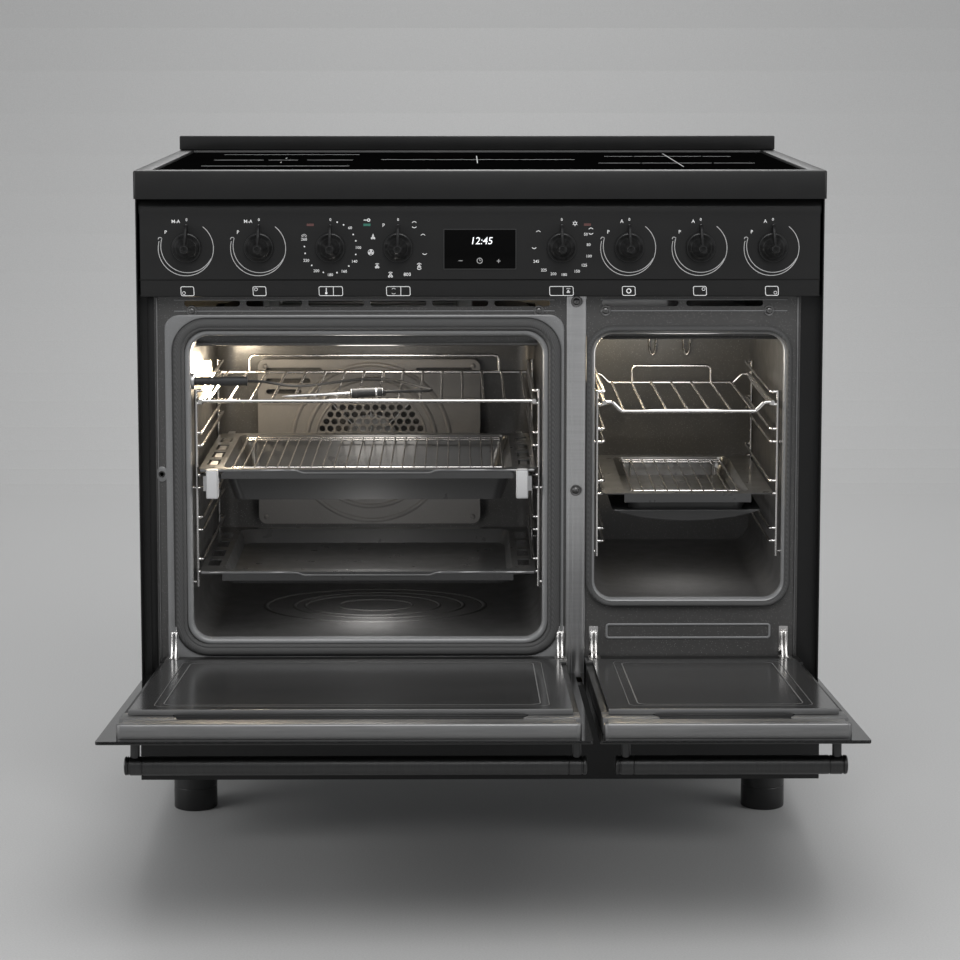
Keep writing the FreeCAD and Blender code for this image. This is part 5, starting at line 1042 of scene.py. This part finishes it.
def doorPieces(name, values):
    own, body = values[name], name + "_door"
    left, right = own["frame"]
    glass = bmesh.new()
    front, back = values["glassY"]
    plate(glass, *own["glass"], values["low"], values["high"], 2.5, back, front, 0.8)
    shown(name + "-door-front-glass", laidOpen(glass), "front_glass", body, [name + "_door_outer_glass"])
    shell = bmesh.new()
    rail, pane, cover = values["rail"], values["innerGlass"], values["cover"]
    for low, high in ((left, left + 16), (right - 16, right)):
        block(shell, (low, back + 0.1, 229), (high, -276.5, rail["low"]), 1.2)
    block(shell, (left, back + 0.1, 229), (right, -273, 284), 1.5)
    block(shell, (left + 10, back + 0.2, pane["high"] - 14), (right - 10, -285, rail["low"] + 2), 0.8)
    count = values["ribs"][name]
    pitch = (right - left - 2 * cover["wide"]) / count
    for step in range(count):
        x = left + cover["wide"] + step * pitch
        block(shell, (x + 4, -285.4, 678), (x + pitch - 4, -281, 681), 0.6)
        block(shell, (x + 4, -285.4, 686), (x + pitch - 4, -282, 688.4), 0.6)
    shown(name + "-door-shell", laidOpen(shell), "black_enamel", body, [name + "_door_frame"])
    profile = bmesh.new()
    yBack, yFront = rail["y"][1], rail["y"][0]
    plate(profile, left, right, rail["low"], rail["high"], rail["corner"], yFront, yFront + 0.4, 0.3)
    section = [(yFront, rail["low"]), (yFront, rail["high"] - 3), (yFront + 0.6, rail["high"] - 1),
               (yFront + 2, rail["high"]),
               (yBack - 2.2, rail["high"]), (yBack - 0.8, rail["high"] - 0.7), (yBack, rail["high"] - 2.4),
               (yBack, rail["low"] + 2), (yBack - 1, rail["low"])]
    drawnOut(profile, section, left + 6, right - 6)
    for x in (left + 6.5, right - 6.5):
        turned(profile, values["railPlug"], (x, yFront + 0.1, rail["high"] - 7.2), axis="y", steps=28)
    for side, x in ((1, left), (-1, right)):
        section = [(x, cover["low"]), (x + side * (cover["wide"] - 24), cover["low"]),
                   (x + side * (cover["wide"] - 16), cover["low"] + 2),
                   (x + side * (cover["wide"] - 10), cover["low"] + 8),
                   (x + side * (cover["wide"] - 6), cover["low"] + 20),
                   (x + side * (cover["wide"] - 3), cover["low"] + 30),
                   (x + side * cover["wide"], cover["low"] + 36), (x + side * cover["wide"], cover["high"] + 1),
                   (x, cover["high"] + 1)]
        drawnOut(profile, section, back + 1, cover["y"], along="y", radius=0.7)
    shown(name + "-door-end-rail", laidOpen(profile), "door_aluminium", body, sharp=40)
    inner = bmesh.new()
    inset = pane["inset"]
    plate(inner, left + inset, right - inset, pane["low"], pane["high"], 5, pane["y"][0], pane["y"][1], -0.6)
    second = values["secondPane"]
    plate(inner, left + second["inset"], right - second["inset"], second["low"], second["high"], 4,
          *second["y"], -0.5)
    shown(name + "-door-inner-pane", laidOpen(inner), "inner_door_glass", body, [name + "_door_inner_glass"])
    trim = bmesh.new()
    block(trim, (left + inset - 1, pane["y"][0] - 1.6, pane["high"] - 1.2),
          (right - inset + 1, pane["y"][1] + 0.9, pane["high"] + 1.6), 0.5)
    for x in own["arms"]:
        turned(trim, values["rivet"], (x, -273, 268), axis="y", steps=24)
    shown(name + "-door-bright-trim", laidOpen(trim), "door_aluminium", body)
    strip = bmesh.new()
    for low, high, top in values["vents"]:
        block(strip, (left + cover["wide"] - 4, -286, low), (right - cover["wide"] + 4, top, high), 0.7)
    shown(name + "-door-vent-strip", laidOpen(strip), "handle_metal", body)
    edge = bmesh.new()
    outerLeft, outerRight = own["glass"]
    block(edge, (outerLeft + 2, front + 1.4, values["high"] - 1), (outerRight - 2, back - 0.2, values["high"]),
          0.3)
    shown(name + "-door-glass-edge", laidOpen(edge), "door_aluminium", body)
    border = PrintSheet((0, pane["y"][1] + 0.62, 0), turn=-90)
    middle, half = (left + right) / 2, (right - left) / 2
    for back, line in values["printLines"]:
        high = pane["high"] - pane["low"] - 2 * (back - 12)
        border.frame(middle, -(pane["low"] + pane["high"]) / 2, 2 * (half - back), high, values["printCorner"],
                     line)
    mesh = border.mesh
    facing = Vector((0, 1, 0))
    grownFaces = bmesh.ops.extrude_face_region(mesh, geom=mesh.faces[:])
    bmesh.ops.translate(mesh, verts=newVerts(grownFaces), vec=facing * 0.1 * mm)
    bmesh.ops.recalc_face_normals(mesh, faces=mesh.faces)
    shown(name + "-door-print-lines", laidOpen(mesh), "hob print", body)


# handles: a round bar with a cap at each end, a groove each side of the posts
handleValues = {"barY": -331, "barZ": 692, "radius": 11, "post": 5.5,
                "main": {"ends": (-415, 120), "posts": (-403, 108)},
                "small": {"ends": (153, 422), "posts": (165, 410)}}


def handle(name, values):
    mesh = bmesh.new()
    (left, right), posts, radius = values[name]["ends"], values[name]["posts"], values["radius"]
    outline = [(0, 0), (radius - 2.4, 0), (radius - 0.8, 0.5), (radius, 1.8), (radius, 4.2),
               (radius - 0.9, 4.8), (radius - 0.9, 5.8), (radius, 6.4)]
    marks = sorted(abs(post - left) for post in posts)
    for post in marks:
        for side in (-9, 9):
            outline += [(radius, post + side - 0.9), (radius - 0.8, post + side - 0.5),
                        (radius - 0.8, post + side + 0.5), (radius, post + side + 0.9)]
    outline = [point for point in outline if 0 <= point[1] <= right - left - 6]
    span = right - left
    outline += [(radius, span - 6.4), (radius - 0.9, span - 5.8), (radius - 0.9, span - 4.8),
                (radius, span - 4.2), (radius, span - 1.8), (radius - 0.8, span - 0.5), (radius - 2.4, span),
                (0, span)]
    outline = sorted(outline, key=lambda point: point[1])
    turned(mesh, outline, (left, values["barY"], values["barZ"]), axis="x", steps=36)
    for post in posts:
        turned(mesh, [(0, 0), (8.2, 0), (8.2, 1.6), (7.2, 2.6), (values["post"], 3.4), (values["post"], 24),
                      (0, 24)],
               (post, -300.05, values["barZ"]), axis="-y", steps=28)
    shown(name + "-door-handle-bar", laidOpen(mesh), "handle_metal", name + "_door", [name + "_door_handle"])


for door in ("main", "small"):
    doorPieces(door, doorValues)
    handle(door, handleValues)
print("doors made")


# ---- hob: folded frame, glass plate and upstand
hobValues = {"frame": [(449, 300, 4, 863), (449, 300, 4, 897.4), (448.2, 299.2, 3.6, 899.3),
                       (446.4, 297.4, 3, 900), (430, 281, 2.4, 900), (428, 279, 2, 899.3),
                       (427.2, 278.2, 2, 897.6), (427.2, 278.2, 2, 892.2), (447.4, 298.4, 3, 892),
                       (447.4, 298.4, 3, 863)],
             "glass": [(426.2, 277.2, 2.5, 892.5), (426.5, 277.5, 2.5, 895.7), (425.7, 276.7, 2.2, 896.5)],
             "upstand": ((-449, 284, 900), (449, 300, 921)), "backShift": -3, "line": 3.4,
             "printHeight": 896.52,
             "lines": [(-375, -175, 208), (-375, -305, 44), (-298, -256, 44), (-243, -178, 44),
                       (-378, -177, -120), (-139, -62, 56), (-60, 58, 56), (60, 137, 56), (184, 225, 149),
                       (228, 325, 149), (328, 369, 149), (166, 224, -44), (226, 323, -44), (326, 383, -44)],
             "marks": [(-276, 98, 26), (-276, -20, 26), (-2, 60, 210), (276, 48, 380)]}


def hob(values):
    shift = values["backShift"]
    for part, options in (("frame", {"ring": True}), ("glass", {"caps": (True, True)})):
        mesh = bmesh.new()
        rims = []
        for half, deep, corner, height in values[part]:
            back = deep if part == "frame" and deep > 290 else deep + shift
            rims.append((-half, half, -deep, back, corner, -height))
        pressedFlat(mesh, rims, **options)
        finish = {"frame": "black_enamel", "glass": "hob_ceramic"}[part]
        shown("hob-" + part + "-formed", mesh, finish, instead=["hob_" + part])
    upstand = bmesh.new()
    block(upstand, *values["upstand"], 1.6, 3)
    shown("upstand-folded", upstand, "black_enamel", instead=["upstand"])
    sheet = PrintSheet((0, 0, values["printHeight"]), turn=0)
    for left, right, y in values["lines"]:
        sheet.bar((left + right) / 2, y, right - left, values["line"])
    for x, y, long in values["marks"]:
        sheet.bar(x, y, 1.3, long)
    sheet.lay("zone-lines", "zone print", thick=0.06)
    print("hob made")


# ---- feet: plain tubes with an eased lower edge, screwed into a flange under the base
footValues = {"radius": 30, "flange": 33, "flangeLow": 79, "high": 93}


def feet(values):
    mesh = bmesh.new()
    radius, flange, flangeLow, high = (values[key] for key in ("radius", "flange", "flangeLow", "high"))
    for low, top in islands(nodes["feet"]):
        spot = ((low.x + top.x) / 2 / mm, (low.y + top.y) / 2 / mm, 0)
        turned(mesh, [(0, 0.6), (20, 0.6), (21, 0), (radius - 1.4, 0), (radius - 0.4, 0.5), (radius, 1.6),
                      (radius, 30), (radius - 0.4, 30.6), (radius - 0.4, 31.4), (radius, 32),
                      (radius, flangeLow), (flange - 1, flangeLow + 0.2), (flange, flangeLow + 1.4),
                      (flange, high - 1), (flange - 0.6, high), (0, high)], spot, axis="z", steps=48)
    shown("feet-turned", mesh, "foot_plastic", instead=["feet"])


# ---- hinge arms: two chromed straps with a rivet at each end, from the front frame to the door
armValues = {"gap": 2.7, "strand": 3.0,
             "path": [(-258, 284), (-266, 286), (-268.4, 281), (-272, 268), (-279, 256), (-285, 246),
             (-285.6, 241)], "eye": (-264.5, 283), "pin": (-283, 243)}


def hingeArms(values):
    mesh = bmesh.new()
    for low, high in islands(nodes["hinge_arms"]):
        x = (low.x + high.x) / 2 / mm
        strands(mesh, [[(x + side * values["gap"], y, z) for y, z in values["path"]] for side in (-1, 1)],
                values["strand"])
        for y, z in (values["eye"], values["pin"]):
            turned(mesh, [(0, 0), (1.9, 0), (2.2, 0.4), (2.2, 9.6), (1.9, 10), (0, 10)], (x - 5, y, z),
                   axis="x", steps=16)
        block(mesh, (x - 1.6, -262, 250), (x + 1.6, -236, 279), 1.2)
        block(mesh, (x - 1.2, -281, 240), (x + 1.2, -262, 262), 1.0)
        block(mesh, (x - 6, -262.9, 247), (x + 6, -261.9, 291), 0.4)
    shown("hinge-straps", mesh, "hinge_chrome", instead=["hinge_arms"])


# ---- inside the main oven: rounded back corners, beads on the fan cover, floor pattern, lip behind the mouth
mainOvenValues = {"back": 157.8, "low": 275, "high": 681, "sides": (-382.8, 83.8), "cornerRadius": 27,
                  "lip": [(-244, 681.6), (-246.4, 679), (-245, 675.6), (-245.2, 671.4), (-247, 669.2),
                          (-246.6, 666.6), (-244.4, 665.4), (-242.4, 666.4), (-242, 669), (-242, 681.6)],
                  "fanCentre": (-157, 134.1, 477),
                  "rings": ((112, 119.4, 2.4), (91, 98.5, 2.6), (80.2, 84, 1.4)),
                  "ledges": ((-318.5, -251, 536), (-60, -2, 541)),
                  "dimples": ((-312, 590), (-8, 366), (-312, 366), (-8, 590)),
                  "dimple": [(0, 2.4), (2.6, 2.2), (3.6, 1.4), (4, 0)],
                  "floorCentre": (-146, -52, 274),
                  "floorRings": ((150, 158, 0), (116, 122, 5), (92, 97, -4), (50, 54, 0)),
                  "floorSquash": 0.69}


def mainOven(values):
    mesh = bmesh.new()
    left, right = values["sides"]
    back, radius = values["back"], values["cornerRadius"]
    for edge, side in ((left, 1), (right, -1)):
        own = bmesh.new()
        middle = Vector((edge + side * radius, back - radius, values["low"])) * mm
        start = own.verts.new(middle + Vector((0, radius * mm, 0)))
        own.verts.ensure_lookup_table()
        bmesh.ops.spin(own, geom=[start], cent=middle, axis=(0, 0, side), angle=math.radians(90), steps=10)
        outside = own.verts.new(Vector((edge, back, values["low"])) * mm)
        own.verts.ensure_lookup_table()
        ends = [v for v in own.verts if v is not outside and len(v.link_edges) == 1]
        for end in ends:
            own.edges.new((end, outside))
        bmesh.ops.contextual_create(own, geom=own.edges[:])
        grown = bmesh.ops.extrude_face_region(own, geom=own.faces[:])
        bmesh.ops.translate(own, verts=newVerts(grown), vec=(0, 0, (values["high"] - values["low"]) * mm))
        bmesh.ops.recalc_face_normals(own, faces=own.faces)
        joinInto(mesh, own)
    drawnOut(mesh, values["lip"], left + 8, right - 8)
    shown("main-oven-corners", mesh, "oven_enamel", sharp=40)
    beads = bmesh.new()
    for inner, outer, rise in values["rings"]:
        step = (outer - inner) / 4
        turned(beads, [(inner, 0), (inner + step, 0.75 * rise), (inner + 2 * step, rise),
                       (inner + 3 * step, 0.75 * rise), (outer, 0)], values["fanCentre"], steps=96)
    for low, high, z in values["ledges"]:
        block(beads, (low, values["fanCentre"][1] - 2.2, z - 3), (high, values["fanCentre"][1] + 0.2, z + 3),
              1.5, 3)
    for x, z in values["dimples"]:
        turned(beads, values["dimple"], (x, values["fanCentre"][1] + 0.1, z), steps=20)
    # the beads take the fan cover's enamel, painted lighter for the light falling on the cover
    shown("fan-cover-beads", beads, "cover_enamel", sharp=60)
    pattern = bmesh.new()
    for inner, outer, shift in values["floorRings"]:
        own = bmesh.new()
        step = (outer - inner) / 4
        turned(own, [(inner, -0.1), (inner + step, 0.9), (inner + 2 * step, 1.3), (inner + 3 * step, 0.9),
                     (outer, -0.1)],
               (0, 0, 0), axis="z", steps=96)
        bmesh.ops.scale(own, vec=(1, values["floorSquash"], 1), verts=own.verts)
        bmesh.ops.translate(own, vec=(Vector(values["floorCentre"]) + Vector((shift, 0, 0))) * mm,
                            verts=own.verts)
        joinInto(pattern, own)
    shown("main-oven-floor-pattern", pattern, "oven_enamel", sharp=60)
    print("main oven lining made")


# ---- inside the small oven: grill hooks, lip behind the mouth and the bowl of the tray
smallOvenValues = {"lip": [(-244, 683.6), (-246, 681.4), (-244.8, 678), (-246, 675.8), (-244.6, 673.8),
                           (-242.4, 674.6), (-242, 676.6), (-242, 683.6)], "sides": (158, 394),
                           "hooks": (257, 307),
                           "hookLow": 606,
                   "hookHigh": 634, "back": 157.6,
                   "bowl": [(176, 443.5), (190, 438.5), (214, 433), (244, 429.5), (276, 428.2), (308, 429.5),
                            (338, 433), (362, 438.5), (376, 443.5)], "bowlY": (-236, 48)}


def smallOven(values):
    mesh = bmesh.new()
    drawnOut(mesh, values["lip"], *values["sides"])
    shown("small-oven-lip", mesh, "oven_enamel", sharp=40)
    hooks = bmesh.new()
    low, high, back = values["hookLow"], values["hookHigh"], values["back"]
    for x in values["hooks"]:
        strands(hooks, [[(x + side * 5, back, high), (x + side * 5, back - 9, high),
                         (x + side * 5, back - 11, high - 6),
                         (x + side * 4.6, back - 8, low + 6), (x + side * 2.4, back - 7, low),
                         (x, back - 7, low - 1)]
                        for side in (-1, 1)], 2.6)
        block(hooks, (x - 7, back - 1.4, high - 4), (x + 7, back, high + 5), 0.5)
    shown("grill-hooks", hooks, "hinge_chrome")
    bowl = bmesh.new()
    drawnOut(bowl, values["bowl"], *values["bowlY"], along="y", radius=1.2)
    shown("small-tray-bowl", bowl, "tray_enamel", "small_tray_set", sharp=50)
    print("small oven lining made")


# ---- trays and runners
trayValues = {"deep": {"body": "deep_tray_set", "y": -251.2, "z": 499.6},
              "low": {"body": "low_tray_set", "y": -251.2, "z": 361.8},
              "ends": (-371, 72), "dip": ((-251, -227), (-75, -51)), "dipDepth": 3.4, "bead": 4.6,
              "capSize": (15.8, 14.6, 39), "capLefts": (-362.9, 47.9), "capLow": 463.1, "capFront": -262.4}


def trayRims(values):
    left, right = values["ends"]
    (startA, startB), (endA, endB) = values["dip"]
    for name in ("deep", "low"):
        own = values[name]
        y, z, dip = own["y"], own["z"], values["dipDepth"]
        row = [(left, y, z), (left + 2, y, z), (startA, y, z), ((startA + startB) / 2 - 4, y, z),
               ((startA + startB) / 2 + 4, y, z - dip), (startB, y, z - dip), (startB + 4, y, z - dip),
               (endA - 4, y, z - dip), (endA, y, z - dip), ((endA + endB) / 2 - 4, y, z - dip),
               ((endA + endB) / 2 + 4, y, z),
               (endB, y, z), (right - 2, y, z), (right, y, z)]
        mesh = bmesh.new()
        # the rim tube takes the bright tray_rim finish: a painted highlight along the tray's rolled edge
        strands(mesh, [row], values["bead"])
        shown(name + "-tray-rolled-rim", mesh, "tray_rim", own["body"])
    caps = bmesh.new()
    wide, deep, high = values["capSize"]
    for x in values["capLefts"]:
        front, low = values["capFront"], values["capLow"]
        block(caps, (x, front, low), (x + wide, front + deep, low + high), 2.6, 4)
    shown("runner-end-caps", caps, "runner cap", "deep_tray_set")
    print("tray rims and runner caps made")


# ---- probe: the lead, with rubber sleeves over the plug's and the probe's grips
probeValues = {"plugSleeve": [(5.5, 0), (5.8, 0.6), (5.8, 6), (5.6, 6.6), (5.6, 8), (5.8, 8.6), (5.8, 15),
                              (6.3, 17), (6.75, 22), (6.8, 38), (6.6, 44), (6.7, 45), (6.7, 46.4), (6.1, 49),
                              (4.2, 51.2), (3.0, 52), (1.8, 52)],
               "plugStart": (-359.9, -242, 618),
               "probeSleeve": [(1.8, -3), (2.6, -2.4), (3.4, -0.4), (5.4, 0), (5.8, 1.4), (5.9, 7), (5.3, 8),
                               (5.3, 9.4), (5.9, 10.4), (5.9, 33), (5.6, 34), (5.6, 35.6), (5.9, 36.6),
                               (5.8, 41), (4.4, 42.6), (2.2, 43.2)],
               "diameter": 3.6, "length": 0.483,
               "route": [(-307.8, -242, 618), (-288, -242, 618), (-268, -226, 611.5), (-250, -196, 605),
                         (-231, -161, 601), (-208, -122, 599), (-181, -86, 598.2), (-158, -66, 597.9),
                         (-135, -67, 597.9), (-113, -87, 597.9), (-93, -124, 597.9), (-74, -160, 597.9),
                         (-63, -181, 598), (-69, -200, 598.7), (-88, -212, 600.2), (-111, -221.5, 601.4),
                         (-130, -224, 600.9)],
               "bendStart": (-0.300, -0.242, 0.618), "bendEnd": (-0.240, -0.180, 0.603)}


def probe(values):
    plug = bmesh.new()
    turned(plug, values["plugSleeve"], values["plugStart"], axis="x", steps=32)
    plugSleeve = shown("probe-plug-sleeve", plug, "dark_plastic")
    route = values["route"]
    end, before = Vector(route[-1]), Vector(route[-2])
    aim = Matrix.Translation(end * mm) @ (end - before).to_track_quat("Z", "Y").to_matrix().to_4x4()
    grip = bmesh.new()
    turned(grip, values["probeSleeve"], (0, 0, 0), axis="z", steps=28)
    bmesh.ops.transform(grip, matrix=aim, verts=grip.verts)
    probeSleeve = shown("probe-grip-sleeve", grip, "dark_plastic", "main_shelf")
    line = smoothLine("probe line", route)
    bpy.data.meshes.remove(line)
    tube = bmesh.new()
    strands(tube, [route], values["diameter"])
    lead = shown("probe-lead-sleeve", tube, "probe_sleeve", None, ["probe_cord"])
    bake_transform(lead)
    print("probe made")


# ---- edges of the front frames: rolled bead, vent lips and the eyelet at the left
edgeValues = {"beads": (-426.2, 416.8), "beadWide": 2.6, "low": 224, "high": 732,
              "lips": ((-402, 98, 728.2), (-402, 98, 713.4), (158, 404, 728.2),
              (158, 404, 713.4)), "eyelet": (-420.5, 497), "shade": (-437, -428.2)}


def frontEdges(values):
    mesh = bmesh.new()
    beads = bmesh.new()
    for left in values["beads"]:
        block(beads, (left, -264, values["low"]), (left + values["beadWide"], -261.8, values["high"]), 0.9, 3)
    shown("front-frame-beads", beads, "door_aluminium")
    shade = bmesh.new()
    left, right = values["shade"]
    block(shade, (left, -262.6, values["low"]), (right, -261.6, values["high"]), 0.4)
    shown("frame-side-trim", shade, "black_enamel")
    for left, right, z in values["lips"]:
        block(mesh, (left, -263.1, z - 0.8), (right, -261.9, z + 0.8), 0.6, 3)
    x, z = values["eyelet"]
    pressed(mesh, [(x - 6.4, x + 6.4, z - 10, z + 10, 6, -262), (x - 6.4, x + 6.4, z - 10, z + 10, 6, -263.4),
                   (x - 5.8, x + 5.8, z - 9.4, z + 9.4, 5.6, -263.9)], caps=(False, True))
    shown("front-frame-edges", mesh, "front_enamel", sharp=50)
    hole = bmesh.new()
    turned(hole, [(0, 0), (2.6, 0), (2.6, 0.5), (3.4, 0.9), (4.2, 0.6), (4.4, 0)], (x, -263.9, z), steps=24)
    shown("frame-eyelet", hole, "dark_plastic")


hob(hobValues)
feet(footValues)
hingeArms(armValues)
mainOven(mainOvenValues)
smallOven(smallOvenValues)
trayRims(trayValues)
probe(probeValues)
frontEdges(edgeValues)


# ---- floor
floorValues = {"low": (-7, -5, -0.006), "high": (7, 3.6, 0), "wallHeight": 4.5, "bend": 1.2}


def studioSweep(values):
    low, high = values["low"], values["high"]
    mesh = bmesh.new()
    side = [mesh.verts.new((low[0], y, z)) for y,
            z in ((low[1], 0), (high[1], 0), (high[1], values["wallHeight"]))]
    for pair in zip(side, side[1:]):
        mesh.edges.new(pair)
    bmesh.ops.bevel(mesh, geom=[side[1]], offset=values["bend"], segments=16, profile=0.5, affect="VERTICES",
                    material=-1)
    grown = bmesh.ops.extrude_edge_only(mesh, edges=mesh.edges[:])
    moved = [v for v in grown["geom"] if isinstance(v, bmesh.types.BMVert)]
    bmesh.ops.translate(mesh, verts=moved, vec=(high[0] - low[0], 0, 0))
    bmesh.ops.recalc_face_normals(mesh, faces=mesh.faces)
    data = bpy.data.meshes.new("studio sweep")
    mesh.to_mesh(data)
    mesh.free()
    data.materials.append(finishes["studio floor"])
    sweep = bpy.data.objects.new("studio-sweep", data)
    scene.collection.objects.link(sweep)


studioSweep(floorValues)
print("floor laid")
